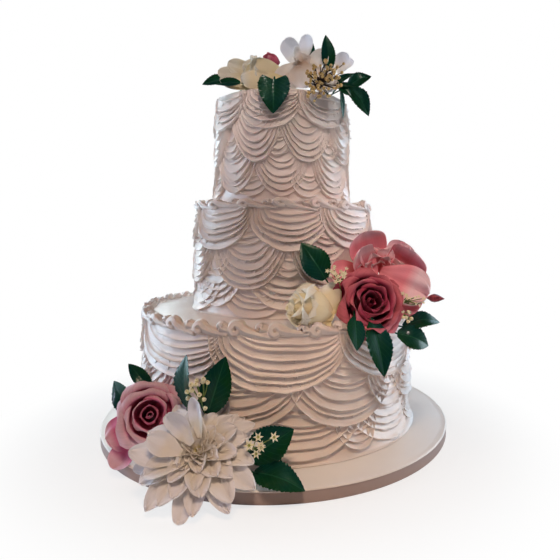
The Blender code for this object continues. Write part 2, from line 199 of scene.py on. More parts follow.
def stroke_template(name, strokes, start, seed):
    """One swag in flat form: half width and drop of 1, lips in metres towards -Y, closed behind.

    start is how wide the innermost stroke begins on the left and on the right, as a share."""
    source = np.random.default_rng(seed)
    edges = np.linspace(0, 1, strokes + 1)
    edges[1:-1] += source.uniform(-0.28, 0.28, strokes - 1) / strokes
    rows = []
    for before, after in zip(edges, edges[1:]):
        lip = LIP * source.uniform(0.75, 1.2)
        for share, rise, crest in ((0.03, 0.0, 0), (0.25, 0.08, 0), (0.50, 0.26, 0), (0.76, 0.56, 0.1),
                                   (0.90, 0.86, 0.6), (0.95, 1.0, 1.0), (1.0, 0.94, 1.0)):
            depth = before + (after - before) * share
            rows.append((depth, lip * rise * (0.45 + 0.55 * min(1.0, depth / 0.35)), crest))
    rows.append((1.012, -SUNK, 0.6))
    points, crests, places = [], [], []
    for depth, lift, crest in rows:
        for step in range(ALONG + 1):
            side = 2 * step / ALONG - 1
            turned = side * math.pi / 2
            begin = start[0] if side < 0 else start[1]
            x = (begin + (1 - begin) * depth ** 0.8) * math.sin(turned)
            z = -depth * math.cos(turned) ** 0.85
            fade = 0.45 + 0.55 * math.cos(turned) ** 0.5
            rise = lift * (fade if lift > 0 else 1) - TILT * z * (1 if lift > 0 else 0)
            points.append((x, -rise, z))
            crests.append(crest * fade)
            places.append((side, depth))
    wide = ALONG + 1
    deep = len(rows)
    faces = []
    for row in range(deep - 1):
        for step in range(ALONG):
            a = row * wide + step
            faces.append((a, a + wide, a + wide + 1, a + 1))
    rim = list(range(wide)) + [row * wide + ALONG for row in range(1, deep)]
    rim += [(deep - 1) * wide + step for step in range(ALONG - 1, -1, -1)]
    rim += [row * wide for row in range(deep - 2, 0, -1)]
    first = len(points)
    for index in rim:
        points.append((points[index][0], SUNK, points[index][2]))
    points.append((0, SUNK, -0.5))
    crests += [0] * (len(rim) + 1)
    places += [places[index] for index in rim] + [(0, 0.5)]
    for at in range(len(rim)):
        after = (at + 1) % len(rim)
        faces.append((rim[at], rim[after], first + after, first + at))
        faces.append((first + at, first + after, len(points) - 1))
    mesh = bpy.data.meshes.new(name)
    mesh.from_pydata(points, [], faces)
    mesh.attributes.new("crest", "FLOAT", "POINT").data.foreach_set("value", crests)
    drawn = mesh.uv_layers.new(name="spatula")
    corners = np.empty(len(mesh.loops), int)
    mesh.loops.foreach_get("vertex_index", corners)
    drawn.data.foreach_set("uv", (np.array(places)[corners]).ravel())
    return bpy.data.objects.new(name, mesh)


def set_input(tree, kind, name, default=None):
    """Adds a named input to a geometry tree."""
    socket = tree.interface.new_socket(name, in_out="INPUT", socket_type="NodeSocket" + kind)
    if default is not None:
        socket.default_value = default


def grow(piece, tree, sizes):
    """Runs a geometry tree on a piece with its named inputs set, and keeps the result as plain mesh."""
    growth = piece.modifiers.new(tree.name, "NODES")
    growth.node_group = tree
    for socket in tree.interface.items_tree:
        if socket.item_type == "SOCKET" and socket.name in sizes:
            growth[socket.identifier] = sizes[socket.name]
    graph = bpy.context.evaluated_depsgraph_get()
    mesh = bpy.data.meshes.new_from_object(piece.evaluated_get(graph), preserve_all_data_layers=True, depsgraph=graph)
    piece.modifiers.remove(growth)
    mesh.name = piece.name
    piece.data = mesh
    return piece


def swag_tree():
    """Lays swags side by side on the unrolled side of a tier, shakes them by hand, and rolls it up."""
    tree = bpy.data.node_groups.new("swags drawn round a tier", "GeometryNodeTree")
    set_input(tree, "Geometry", "Places")
    set_input(tree, "Collection", "Swags")
    set_input(tree, "Material", "Icing")
    for name in ("Radius", "Middle", "Foot", "Spread", "Spread height", "Wobble", "Wobble size", "Crinkle"):
        set_input(tree, "Float", name, 0.0)
    tree.interface.new_socket("Tier", in_out="OUTPUT", socket_type="NodeSocketGeometry")
    given = add_node(tree, "NodeGroupInput").outputs
    templates = add_node(tree, "GeometryNodeCollectionInfo",
                         {"Collection": given["Swags"], "Separate Children": True, "Reset Children": True})
    size = add_node(tree, "GeometryNodeInputNamedAttribute", {"Name": "size"}, data_type="FLOAT_VECTOR")
    pick = add_node(tree, "GeometryNodeInputNamedAttribute", {"Name": "pick"}, data_type="INT")
    tilt = add_node(tree, "GeometryNodeInputNamedAttribute", {"Name": "tilt"}, data_type="FLOAT")
    turned = add_node(tree, "ShaderNodeCombineXYZ", {"Y": tilt.outputs["Attribute"]})
    laid = add_node(tree, "GeometryNodeInstanceOnPoints", {
        "Points": given["Places"], "Instance": templates.outputs["Instances"], "Pick Instance": True,
        "Instance Index": pick.outputs["Attribute"], "Rotation": turned.outputs["Vector"],
        "Scale": size.outputs["Attribute"]})
    real = add_node(tree, "GeometryNodeRealizeInstances", {"Geometry": laid.outputs["Instances"]})
    place = add_node(tree, "GeometryNodeInputPosition")
    hand = add_node(tree, "ShaderNodeVectorMath", {0: place.outputs[0], "Scale": given["Wobble size"]}, operation="SCALE")
    drift = add_node(tree, "ShaderNodeTexNoise", {"Vector": hand.outputs[0], "Scale": 1.0, "Detail": 2.0})
    centred = add_node(tree, "ShaderNodeVectorMath", {0: drift.outputs["Color"], 1: (0.5, 0.5, 0.5)}, operation="SUBTRACT")
    sideways = add_node(tree, "ShaderNodeVectorMath", {0: centred.outputs[0], 1: (1.0, 0.25, 1.0)}, operation="MULTIPLY")
    amount = add_node(tree, "ShaderNodeVectorMath", {0: sideways.outputs[0], "Scale": given["Wobble"]}, operation="SCALE")
    shaken = add_node(tree, "GeometryNodeSetPosition", {"Geometry": real.outputs[0], "Offset": amount.outputs[0]})
    crest = add_node(tree, "GeometryNodeInputNamedAttribute", {"Name": "crest"}, data_type="FLOAT")
    ragged = add_node(tree, "GeometryNodeInputNamedAttribute", {"Name": "ragged"}, data_type="FLOAT")
    small = add_node(tree, "ShaderNodeTexNoise", {"Vector": place.outputs[0], "Scale": 1 / (11 * MM), "Detail": 1.0})
    tear = add_node(tree, "ShaderNodeVectorMath", {0: small.outputs["Color"], 1: (0.5, 0.42, 0.5)}, operation="SUBTRACT")
    where = add_node(tree, "ShaderNodeMath", {0: crest.outputs["Attribute"], 1: ragged.outputs["Attribute"]}, operation="MULTIPLY")
    depth = add_node(tree, "ShaderNodeMath", {0: where.outputs[0], 1: given["Crinkle"]}, operation="MULTIPLY")
    outward = add_node(tree, "ShaderNodeVectorMath", {0: tear.outputs[0], 1: (0.25, 1.0, 0.3)}, operation="MULTIPLY")
    torn = add_node(tree, "ShaderNodeVectorMath", {0: outward.outputs[0], "Scale": depth.outputs[0]}, operation="SCALE")
    crinkled = add_node(tree, "GeometryNodeSetPosition", {"Geometry": shaken.outputs[0], "Offset": torn.outputs[0]})
    flat = add_node(tree, "ShaderNodeSeparateXYZ", {"Vector": place.outputs[0]})
    angle = add_node(tree, "ShaderNodeMath", {0: flat.outputs["X"], 1: given["Radius"]}, operation="DIVIDE")
    above = add_node(tree, "ShaderNodeMath", {0: flat.outputs["Z"], 1: given["Foot"]}, operation="SUBTRACT")
    share = add_node(tree, "ShaderNodeMath", {0: above.outputs[0], 1: given["Spread height"]}, operation="DIVIDE")
    low = add_node(tree, "ShaderNodeMath", {0: 1.0, 1: share.outputs[0]}, operation="SUBTRACT", use_clamp=True)
    square = add_node(tree, "ShaderNodeMath", {0: low.outputs[0], 1: low.outputs[0]}, operation="MULTIPLY")
    flare = add_node(tree, "ShaderNodeMath", {0: square.outputs[0], 1: given["Spread"], 2: given["Radius"]}, operation="MULTIPLY_ADD")
    reach = add_node(tree, "ShaderNodeMath", {0: flare.outputs[0], 1: flat.outputs["Y"]}, operation="SUBTRACT")
    sine = add_node(tree, "ShaderNodeMath", {0: angle.outputs[0]}, operation="SINE")
    cosine = add_node(tree, "ShaderNodeMath", {0: angle.outputs[0]}, operation="COSINE")
    x = add_node(tree, "ShaderNodeMath", {0: reach.outputs[0], 1: sine.outputs[0], 2: given["Middle"]}, operation="MULTIPLY_ADD")
    forward = add_node(tree, "ShaderNodeMath", {0: reach.outputs[0], 1: cosine.outputs[0]}, operation="MULTIPLY")
    y = add_node(tree, "ShaderNodeMath", {0: forward.outputs[0], 1: -1.0}, operation="MULTIPLY")
    rolled = add_node(tree, "ShaderNodeCombineXYZ", {"X": x.outputs[0], "Y": y.outputs[0], "Z": flat.outputs["Z"]})
    wound = add_node(tree, "GeometryNodeSetPosition", {"Geometry": crinkled.outputs[0], "Position": rolled.outputs[0]})
    finish = add_node(tree, "GeometryNodeSetMaterial", {"Geometry": wound.outputs[0], "Material": given["Icing"]})
    add_node(tree, "NodeGroupOutput", {"Tier": finish.outputs[0]})
    return tree


def buttercream(name, along_strokes):
    """Buttercream of icing sugar and butter: ivory-pink white, close and smooth, softly translucent."""
    material, tree, shader = start_material(name, Roughness=0.32, IOR=1.45, Subsurface_Weight=0.12,
                                            Subsurface_Radius=(4 * MM, 2.5 * MM, 1.8 * MM), Subsurface_Scale=1.0)
    coords = add_node(tree, "ShaderNodeTexCoord")
    # Whipped fat and sugar never mix quite evenly: broad, faint patches about 25 mm across.
    patches = add_node(tree, "ShaderNodeTexNoise", {"Vector": coords.outputs["Object"], "Scale": 1 / (25 * MM)})
    tint = add_node(tree, "ShaderNodeValToRGB", {"Fac": patches.outputs["Fac"]})
    tint.color_ramp.elements[0].position = 0.3
    tint.color_ramp.elements[0].color = colour(ICING_SHADE)
    tint.color_ramp.elements[1].position = 0.7
    tint.color_ramp.elements[1].color = colour(ICING_LIGHT)
    tree.links.new(tint.outputs["Color"], shader.inputs["Base Color"])
    # Sugar grain and air bubbles of about 1.2 mm, drawn a little coarser than they are so they show.
    grain = add_node(tree, "ShaderNodeTexNoise", {"Vector": coords.outputs["Object"], "Scale": 1 / (1.2 * MM), "Detail": 3.0})
    height = grain.outputs["Fac"]
    if along_strokes:
        # The blade leaves fine streaks that run along every stroke, about 0.8 mm apart.
        place = add_node(tree, "ShaderNodeUVMap", uv_map="spatula")
        drawn = add_node(tree, "ShaderNodeMapping", {"Vector": place.outputs["UV"], "Scale": (3.0, 70.0, 1.0)})
        streak = add_node(tree, "ShaderNodeTexNoise", {"Vector": drawn.outputs[0], "Scale": 1.0, "Detail": 2.0})
        both = add_node(tree, "ShaderNodeMath", {0: streak.outputs["Fac"], 1: 0.8, 2: height}, operation="MULTIPLY_ADD")
        height = both.outputs[0]
    relief = add_node(tree, "ShaderNodeBump", {"Height": height, "Strength": 0.35, "Distance": 0.35 * MM})
    tree.links.new(relief.outputs["Normal"], shader.inputs["Normal"])
    return material


ICING_SHADE = "#EADBD3"
ICING_LIGHT = "#F3E7DF"
spread_icing = buttercream("buttercream drawn with a spatula", True)
smooth_icing = buttercream("buttercream coat and piping", False)

swags = bpy.data.collections.new("swags")
kinds = {}
for kind, start in (("rim", (0.30, 0.82)), ("tile", (0.10, 0.12))):
    for strokes in range(4, 10):
        kinds[kind, strokes] = len(kinds)
        swags.objects.link(stroke_template(f"{len(kinds):02d}_{kind}", strokes, start, 10 + len(kinds)))

drawing = swag_tree()
source = np.random.default_rng(7)
for tier in TIERS:
    low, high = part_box(tier.name)
    middle_x = (low.x + high.x) / 2
    coat_radius = tier.radius * MM - COAT
    places, sizes, picks, tilts, rags = [], [], [], [], []
    for row, (kind, angles, half_width, head, foot) in enumerate(tier.rows):
        for angle in angles:
            arc = math.radians((angle + 180) % 360 - 180) * coat_radius
            head_z = head * MM
            drop = (head - foot) * MM * source.uniform(0.94, 1.06)
            half = math.radians(half_width) * coat_radius * source.uniform(0.97, 1.1)
            # The decorator drew the front with care; round the sides the strokes are deeper and torn.
            away = min(1.0, max(0.0, abs((angle + 180) % 360 - 180) - 28) / 30)
            places.append((arc, (0.8 - 0.5 * row) * MM, head_z))
            sizes.append((half, source.uniform(0.9, 1.2) * (1 + 0.2 * away), drop))
            picks.append(kinds[kind, min(9, max(4, round(drop / (7.6 * MM))))])
            tilts.append(source.uniform(-0.12, 0.12))
            rags.append(source.uniform(0, 0.4) ** 2 + away * source.uniform(0.3, 1.0))
    mesh = bpy.data.meshes.new(tier.name + "_swags")
    mesh.from_pydata(places, [], [])
    mesh.attributes.new("size", "FLOAT_VECTOR", "POINT").data.foreach_set("vector", np.array(sizes).ravel())
    mesh.attributes.new("pick", "INT", "POINT").data.foreach_set("value", picks)
    mesh.attributes.new("tilt", "FLOAT", "POINT").data.foreach_set("value", tilts)
    mesh.attributes.new("ragged", "FLOAT", "POINT").data.foreach_set("value", rags)
    drawn = bpy.data.objects.new(tier.name + "_swags", mesh)
    bpy.context.scene.collection.objects.link(drawn)
    grow(drawn, drawing, {
        "Swags": swags, "Icing": spread_icing, "Radius": coat_radius, "Middle": middle_x, "Foot": low.z,
        "Spread": tier.spread * MM, "Spread height": FOOT_SPREAD_HEIGHT, "Wobble": 6 * MM,
        "Wobble size": 1 / (34 * MM), "Crinkle": 6.0 * MM})
    drawn.data.shade_smooth()
    drawn.data.set_sharp_from_angle(angle=math.radians(75))
    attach(drawn, "root")
    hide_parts(tier.name)

    # The coat itself: the side between the swags, smoothed out at the foot, and the level top.
    top = high.z - 0.2 * MM
    foot_radius = coat_radius + tier.spread * MM
    outline = [(0, low.z - 0.25 * MM), (foot_radius + 3 * MM, low.z - 0.25 * MM), (foot_radius + 3 * MM, low.z + 0.1 * MM),
               (foot_radius + 1.2 * MM, low.z + 0.7 * MM), (foot_radius + 0.3 * MM, low.z + 1.8 * MM)]
    for share in (0.12, 0.3, 0.5, 0.75, 1.0):
        outline.append((coat_radius + tier.spread * MM * (1 - share) ** 2, low.z + 1.5 * MM + share * FOOT_SPREAD_HEIGHT))
    outline += [(coat_radius, height * MM) for height in np.linspace(low.z / MM + 34, tier.shoulder - 3, 5)]
    for share in (0.0, 0.25, 0.5, 0.75, 1.0):
        turned = share * math.pi / 2
        outline.append((coat_radius - 4 * MM + 4 * MM * math.cos(turned), top - 4 * MM + 4 * MM * math.sin(turned)))
    outline += [(coat_radius * share, top) for share in (0.85, 0.6, 0.3)] + [(0, top)]

    def unevenness(angle, height):
        return noise.noise(Vector((2.4 * math.sin(angle), 2.4 * math.cos(angle), height / (24 * MM)))) * 0.9 * MM

    coat = add_piece(tier.name + "_coat", *turn(outline, 160, middle_x, unevenness), smooth_icing, 60)
    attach(coat, "root")
    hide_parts(tier.name)

# ---------------------------------------------------------------------------------------------
# Piped borders round the two lower shoulders. Buttercream from an open star nozzle: on the bottom
# tier big commas with a curled head take turns with small shells tucked in behind their tails, on
# the middle tier the same comma is drawn out long and flat. A plain bead under them seats both.

NOZZLE_TEETH = 7
Border = namedtuple("Border", "name tier pairs stretch height bead")


def comma(name, turns, head, neck, tail, fat, seed):
    """A star-nozzle comma seen from outside: curls in from its eye, round its head, down to its tail.

    head is the middle and the radius of the curl, tail the end point, all in mm; fat the bag's width."""
    source = np.random.default_rng(seed)
    line, widths = [], []
    for step in range(20):
        share = step / 19
        turned = math.radians(30 + 360 * turns * (1 - share))
        radius = head[2] * (0.12 + 0.88 * share ** 0.8)
        line.append(Vector((head[0] + radius * math.cos(turned), -1.8 * (1 - share), head[1] + radius * math.sin(turned))))
        widths.append(fat * (0.12 + 0.88 * share ** 0.7))
    start = line[-1].copy()
    for step in range(1, 15):
        share = step / 14
        flat = (1 - share) ** 3, 3 * share * (1 - share) ** 2, 3 * share ** 2 * (1 - share), share ** 3
        spots = start, start + Vector((neck[0], 0.4, neck[1])), Vector((tail[0] * 0.45, 0.3, tail[1] + 1.2)), Vector((tail[0], 1.2, tail[1]))
        line.append(sum((spot * part for spot, part in zip(spots, flat)), Vector()))
        widths.append(fat * (1 - 0.72 * share ** 1.3))
    vertices, faces = [line[0] * MM], []
    around = NOZZLE_TEETH * 3
    for at, (spot, width) in enumerate(zip(line, widths)):
        ahead = (line[min(at + 1, len(line) - 1)] - line[max(at - 1, 0)]).normalized()
        side = ahead.cross(Vector((0, 1, 0))).normalized()
        out = side.cross(ahead)
        for step in range(around):
            angle = 2 * math.pi * step / around + 0.05 * at
            ridge = 1 + 0.17 * math.cos(NOZZLE_TEETH * angle) + source.uniform(-0.02, 0.02)
            vertices.append((spot + (side * math.cos(angle) + out * math.sin(angle)) * width * ridge) * MM)
    vertices.append(line[-1] * MM)
    for step in range(around):
        after = (step + 1) % around
        faces.append((0, 1 + step, 1 + after))
        for ring in range(len(line) - 1):
            a = 1 + ring * around
            faces.append((a + step, a + around + step, a + around + after, a + after))
        last = 1 + (len(line) - 1) * around
        faces.append((last + after, last + step, len(vertices) - 1))
    mesh = bpy.data.meshes.new(name)
    mesh.from_pydata([tuple(v) for v in vertices], [], faces)
    return bpy.data.objects.new(name, mesh)


def piping_tree():
    """Sets commas and shells round a shoulder, over a plain bead, and gives them a shaky hand."""
    tree = bpy.data.node_groups.new("shells piped round a shoulder", "GeometryNodeTree")
    set_input(tree, "Geometry", "Places")
    set_input(tree, "Collection", "Shells")
    set_input(tree, "Material", "Icing")
    set_input(tree, "Vector", "Middle")
    for name in ("Radius", "Bead", "Wobble"):
        set_input(tree, "Float", name, 0.0)
    tree.interface.new_socket("Border", in_out="OUTPUT", socket_type="NodeSocketGeometry")
    given = add_node(tree, "NodeGroupInput").outputs
    templates = add_node(tree, "GeometryNodeCollectionInfo",
                         {"Collection": given["Shells"], "Separate Children": True, "Reset Children": True})
    size = add_node(tree, "GeometryNodeInputNamedAttribute", {"Name": "size"}, data_type="FLOAT_VECTOR")
    turned = add_node(tree, "GeometryNodeInputNamedAttribute", {"Name": "turned"}, data_type="FLOAT_VECTOR")
    pick = add_node(tree, "GeometryNodeInputNamedAttribute", {"Name": "pick"}, data_type="INT")
    laid = add_node(tree, "GeometryNodeInstanceOnPoints", {
        "Points": given["Places"], "Instance": templates.outputs["Instances"], "Pick Instance": True,
        "Instance Index": pick.outputs["Attribute"], "Rotation": turned.outputs["Attribute"],
        "Scale": size.outputs["Attribute"]})
    real = add_node(tree, "GeometryNodeRealizeInstances", {"Geometry": laid.outputs["Instances"]})
    ring = add_node(tree, "GeometryNodeCurvePrimitiveCircle", {"Resolution": 220, "Radius": given["Radius"]})
    section = add_node(tree, "GeometryNodeCurvePrimitiveCircle", {"Resolution": 12, "Radius": given["Bead"]})
    bead = add_node(tree, "GeometryNodeCurveToMesh", {"Curve": ring.outputs[0], "Profile Curve": section.outputs[0]})
    seated = add_node(tree, "GeometryNodeTransform", {"Geometry": bead.outputs[0], "Translation": given["Middle"]})
    joined = add_node(tree, "GeometryNodeJoinGeometry")
    tree.links.new(real.outputs[0], joined.inputs[0])
    tree.links.new(seated.outputs[0], joined.inputs[0])
    place = add_node(tree, "GeometryNodeInputPosition")
    drift = add_node(tree, "ShaderNodeTexNoise", {"Vector": place.outputs[0], "Scale": 1 / (9 * MM), "Detail": 2.0})
    centred = add_node(tree, "ShaderNodeVectorMath", {0: drift.outputs["Color"], 1: (0.5, 0.5, 0.5)}, operation="SUBTRACT")
    amount = add_node(tree, "ShaderNodeVectorMath", {0: centred.outputs[0], "Scale": given["Wobble"]}, operation="SCALE")
    shaken = add_node(tree, "GeometryNodeSetPosition", {"Geometry": joined.outputs[0], "Offset": amount.outputs[0]})
    smooth = add_node(tree, "GeometryNodeSetShadeSmooth", {"Geometry": shaken.outputs[0]})
    finish = add_node(tree, "GeometryNodeSetMaterial", {"Geometry": smooth.outputs[0], "Material": given["Icing"]})
    add_node(tree, "NodeGroupOutput", {"Border": finish.outputs[0]})
    return tree


shells = bpy.data.collections.new("shells")
shells.objects.link(comma("0_comma", 1.2, (-7.5, 4.2, 4.6), (3.6, -3.2), (24, 0.0), 5.0, 1))
shells.objects.link(comma("1_shell", 0.4, (-6.0, 4.4, 2.6), (3.0, 0.2), (20, 0.4), 5.6, 2))
piping = piping_tree()
source = np.random.default_rng(11)
for border in (Border("border_bottom", TIERS[0], 26, 1.0, 1.0, 2.4), Border("border_middle", TIERS[1], 17, 1.1, 0.78, 1.8)):
    low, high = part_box(border.tier.name)
    middle_x = (low.x + high.x) / 2
    ring_radius = border.tier.radius * MM - 1.0 * MM
    seat = border.tier.shoulder * MM - 1.8 * MM
    places, sizes, turns, picks = [], [], [], []
    for step in range(2 * border.pairs):
        angle = 2 * math.pi * (step + source.uniform(-0.08, 0.08)) / (2 * border.pairs) + math.radians(6.5)
        small = step % 2
        back = ring_radius - (2.2 * MM if small else 0)
        places.append((middle_x + back * math.sin(angle), -back * math.cos(angle), seat + (0.3 * MM if small else 0)))
        sizes.append((border.stretch * source.uniform(0.9, 1.12), 1.1, border.height * source.uniform(0.88, 1.12)))
        turns.append((math.radians(-14 + source.uniform(-8, 8)), math.radians(source.uniform(-6, 6)), angle))
        picks.append(small)
    mesh = bpy.data.meshes.new(border.name + "_piping")
    mesh.from_pydata(places, [], [])
    mesh.attributes.new("size", "FLOAT_VECTOR", "POINT").data.foreach_set("vector", np.array(sizes).ravel())
    mesh.attributes.new("turned", "FLOAT_VECTOR", "POINT").data.foreach_set("vector", np.array(turns).ravel())
    mesh.attributes.new("pick", "INT", "POINT").data.foreach_set("value", picks)
    piped = bpy.data.objects.new(border.name + "_piping", mesh)
    bpy.context.scene.collection.objects.link(piped)
    grow(piped, piping, {"Shells": shells, "Icing": smooth_icing, "Middle": (middle_x, 0, seat + 1.4 * MM),
                         "Radius": ring_radius - 1.2 * MM, "Bead": border.bead * MM, "Wobble": 1.4 * MM})
    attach(piped, "root")
    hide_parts(border.name)

# ---------------------------------------------------------------------------------------------
# Roses of cut silk: wide petals pressed over a hot ball, wound one over the next round a wired
# bud, each glued at its foot, their rims rolled back by hand. Four sorts: mauve, brick, two cream.

SILK = 0.3 * MM                      # a petal's thickness, with its stiffening


def petal_mesh(shape, across, along, even=False):
    """A closed thin petal: shape(a, b) gives its middle surface, a from -1 to 1 across, b from 0 to 1."""
    lengths = [j / along if even else math.sin(math.pi / 2 * j / along) for j in range(along + 1)]
    front = np.array([[shape(2 * i / across - 1, b) for i in range(across + 1)] for b in lengths])
    du = np.gradient(front, axis=1)
    dv = np.gradient(front, axis=0)
    normal = np.cross(du, dv)
    normal /= np.maximum(np.linalg.norm(normal, axis=2, keepdims=True), 1e-9)
    top = (front + normal * SILK / 2).reshape(-1, 3)
    under = (front - normal * SILK / 2).reshape(-1, 3)
    count = len(top)
    wide = across + 1
    faces = []
    for j in range(along):
        for i in range(across):
            a = j * wide + i
            faces.append((a, a + 1, a + wide + 1, a + wide))
            faces.append((count + a, count + a + wide, count + a + wide + 1, count + a + 1))
    rim = list(range(wide)) + [j * wide + across for j in range(1, along + 1)]
    rim += [along * wide + i for i in range(across - 1, -1, -1)] + [j * wide for j in range(along - 1, 0, -1)]
    for at, index in enumerate(rim):
        after = rim[(at + 1) % len(rim)]
        faces.append((after, index, count + index, count + after))
    places = [(2 * i / across - 1, b) for b in lengths for i in range(across + 1)]
    return np.vstack([top, under]), faces, places * 2


def join_petals(name, petals, axis, centre, material, laid=()):
    """Joins petals, made about +Z, into one flower that looks along axis; those in laid stay where they are."""
    basis = np.array(Vector(axis).normalized().to_track_quat("Z", "Y").to_matrix())
    turned = [(points @ basis.T + np.array(centre), *rest) for points, *rest in petals]
    vertices, faces, places, tones = [], [], [], []
    total = 0
    for points, petal_faces, petal_places, tone in turned + list(laid):
        # Petals that reach the table lie on it.
        low = points[:, 2] < 4 * MM
        points[low, 2] = MM + 3 * MM * np.exp((points[low, 2] - 4 * MM) / (3 * MM))
        vertices.append(points)
        faces += [tuple(total + index for index in face) for face in petal_faces]
        places += petal_places
        tones += [tone] * len(points)
        total += len(points)
    flower = add_piece(name, np.vstack(vertices), faces, material)
    flower.data.set_sharp_from_angle(angle=math.radians(60))
    flower.data.attributes.new("tone", "FLOAT", "POINT").data.foreach_set("value", tones)
    corners = np.empty(len(flower.data.loops), int)
    flower.data.loops.foreach_get("vertex_index", corners)
    flower.data.uv_layers.new(name="petal").data.foreach_set("uv", np.array(places)[corners].ravel())
    return flower


def silk(name, foot, body, rim, vein=0.25, through=0.12):
    """Dyed polyester silk: matt, with a fine sheen; light comes through it, and its colour pales at the rim.

    The dark foot colour is painted shade for the deep heart of the flower; the pale rim is partly the silk's own fading
    and partly painted light on the rolled lips. The attribute "tone" shifts a petal towards the colour of its foot
    (below 0), as painted shade, or of its rim, as painted light."""
    material, tree, shader = start_material(name, Roughness=0.6, IOR=1.45, Sheen_Weight=0.15, Sheen_Roughness=0.5)
    place = add_node(tree, "ShaderNodeUVMap", uv_map="petal")
    split = add_node(tree, "ShaderNodeSeparateXYZ", {"Vector": place.outputs["UV"]})
    tone = add_node(tree, "ShaderNodeAttribute", attribute_name="tone")
    shift = add_node(tree, "ShaderNodeMath", {0: tone.outputs["Fac"], 1: 0.6, 2: split.outputs["Y"]}, operation="MULTIPLY_ADD")
    # Colour from foot to rim along the petal: the dark foot is painted shade deep in the flower, the pale rim partly
    # the silk's own and partly painted light on the rolled lips.
    dye_and_painted_shading = add_node(tree, "ShaderNodeValToRGB", {"Fac": shift.outputs[0]})
    ramp = dye_and_painted_shading.color_ramp
    ramp.elements[0].position = 0.0
    ramp.elements[0].color = colour(foot)
    ramp.elements[1].position = 0.98
    ramp.elements[1].color = colour(rim)
    ramp.elements.new(0.45).color = colour(body)
    ramp.elements.new(0.78).color = colour(body)
    # Veins fan up the petal, about 1.2 mm apart, and the dye takes up in soft blotches of 12 mm.
    fan = add_node(tree, "ShaderNodeMapping", {"Vector": place.outputs["UV"], "Scale": (14.0, 1.1, 1.0)})
    veins = add_node(tree, "ShaderNodeTexNoise", {"Vector": fan.outputs[0], "Scale": 1.0, "Detail": 2.0})
    coords = add_node(tree, "ShaderNodeTexCoord")
    blotch = add_node(tree, "ShaderNodeTexNoise", {"Vector": coords.outputs["Object"], "Scale": 1 / (12 * MM)})
    mixed = add_node(tree, "ShaderNodeMath", {0: veins.outputs["Fac"], 1: blotch.outputs["Fac"]}, operation="ADD")
    depth = add_node(tree, "ShaderNodeMapRange", {"Value": mixed.outputs[0], "From Min": 0.7, "From Max": 1.3,
                                                  "To Min": 1 - vein, "To Max": 1.0})
    shade = add_node(tree, "ShaderNodeVectorMath", {0: dye_and_painted_shading.outputs["Color"], "Scale": depth.outputs[0]}, operation="SCALE")
    tree.links.new(shade.outputs[0], shader.inputs["Base Color"])
    # The weave is 0.25 mm; drawn at 0.5 mm so that it shows at all.
    weave = add_node(tree, "ShaderNodeTexNoise", {"Vector": coords.outputs["Object"], "Scale": 1 / (0.5 * MM)})
    height = add_node(tree, "ShaderNodeMath", {0: veins.outputs["Fac"], 1: 3.0, 2: weave.outputs["Fac"]}, operation="MULTIPLY_ADD")
    relief = add_node(tree, "ShaderNodeBump", {"Height": height.outputs[0], "Strength": 0.3, "Distance": 0.15 * MM})
    tree.links.new(relief.outputs["Normal"], shader.inputs["Normal"])
    # Part of the light goes through the cloth and comes out soft on its far side.
    passed = add_node(tree, "ShaderNodeBsdfTranslucent", {"Color": shade.outputs[0]})
    cloth = add_node(tree, "ShaderNodeMixShader", {0: through, 1: shader.outputs[0], 2: passed.outputs[0]})
    tree.links.new(cloth.outputs[0], tree.nodes["Material Output"].inputs["Surface"])
    return material


def wound_petal(middle, spread, foot, belly, rim, height, roll, point, seed, sink):
    """A rose petal about +Z: at the radius foot below, belly half way up and rim above, in metres.

    It reaches the angle spread to each side of middle. Its lip is rolled back round the radius roll, and
    with point the lip is drawn out to a tip whose two sides are folded back."""
    source = np.random.default_rng(seed)
    phases = source.uniform(0, 2 * math.pi, 3)
    bow = 2 * belly - (foot + rim) / 2
    curl = math.radians(150 if roll > 0.06 * height else 100) * source.uniform(0.8, 1.1)

    def shape(a, b):
        width = (0.5 + 0.5 * min(1.0, b / 0.5) ** 0.7) * (1 - 0.45 * max(0.0, (b - 0.72) / 0.28) ** 2.5)
        angle = middle + a * spread * width
        up = min(1.0, b / 0.7)
        lip = max(0.0, (b - 0.7) / 0.3)
        side = min(1.0, abs(a) / 0.7)
        turn = curl * lip * ((0.25 + 0.75 * side) if point else (0.75 + 0.25 * side))
        radius = foot * (1 - up) ** 2 + 2 * bow * up * (1 - up) + rim * up * up + 0.08 * belly * a
        radius += roll * (1 - math.cos(turn)) + 0.4 * roll * abs(a) ** 3 * up
        rise = (height - roll) * up * (1 - 0.10 * a * a) + roll * math.sin(turn)
        rise += point * lip * (1 - abs(a)) ** 1.2 - 0.10 * height * lip * a * a
        radius += 0.4 * point * lip * (1 - abs(a))
        ripple = 0.03 * height * b * b * (math.sin(3.1 * a + phases[0]) + 0.6 * math.sin(6.3 * a + phases[1]))
        radius += ripple
        return radius * math.cos(angle), radius * math.sin(angle), rise + 0.5 * ripple - sink
    return shape


def spread_petal(petal, seed):
    """A petal laid from base to tip, bowed away from its inner side and cupped towards it."""
    source = np.random.default_rng(seed)
    phases = source.uniform(0, 2 * math.pi, 3)
    base, tip = Vector(petal.base) * MM, Vector(petal.tip) * MM
    length = (tip - base).length
    along = (tip - base) / length
    face = Vector(petal.face)
    face = (face - along * face.dot(along)).normalized()
    across = along.cross(face)

    def shape(a, b):
        half = 0.5 * petal.width * MM * (0.28 + 0.72 * math.sin(math.pi / 2 * min(1.0, b / 0.6)) ** 1.2)
        half *= max(0.02, 1 - max(0.0, (b - 0.6) / 0.4) ** petal.end) ** 0.55
        lift = petal.cup * half * (a * a - 0.3) - petal.bow * length * math.sin(math.pi * b ** 1.1)
        lift += petal.wave * petal.width * MM * b * (math.sin(4.5 * a + phases[0]) + 0.6 * math.sin(9.5 * a + phases[1] + 4 * b))
        lift += 0.02 * length * math.sin(7 * b + phases[2])
        return tuple(base + along * (b * length) + across * (a * half) + face * lift)
    return shape


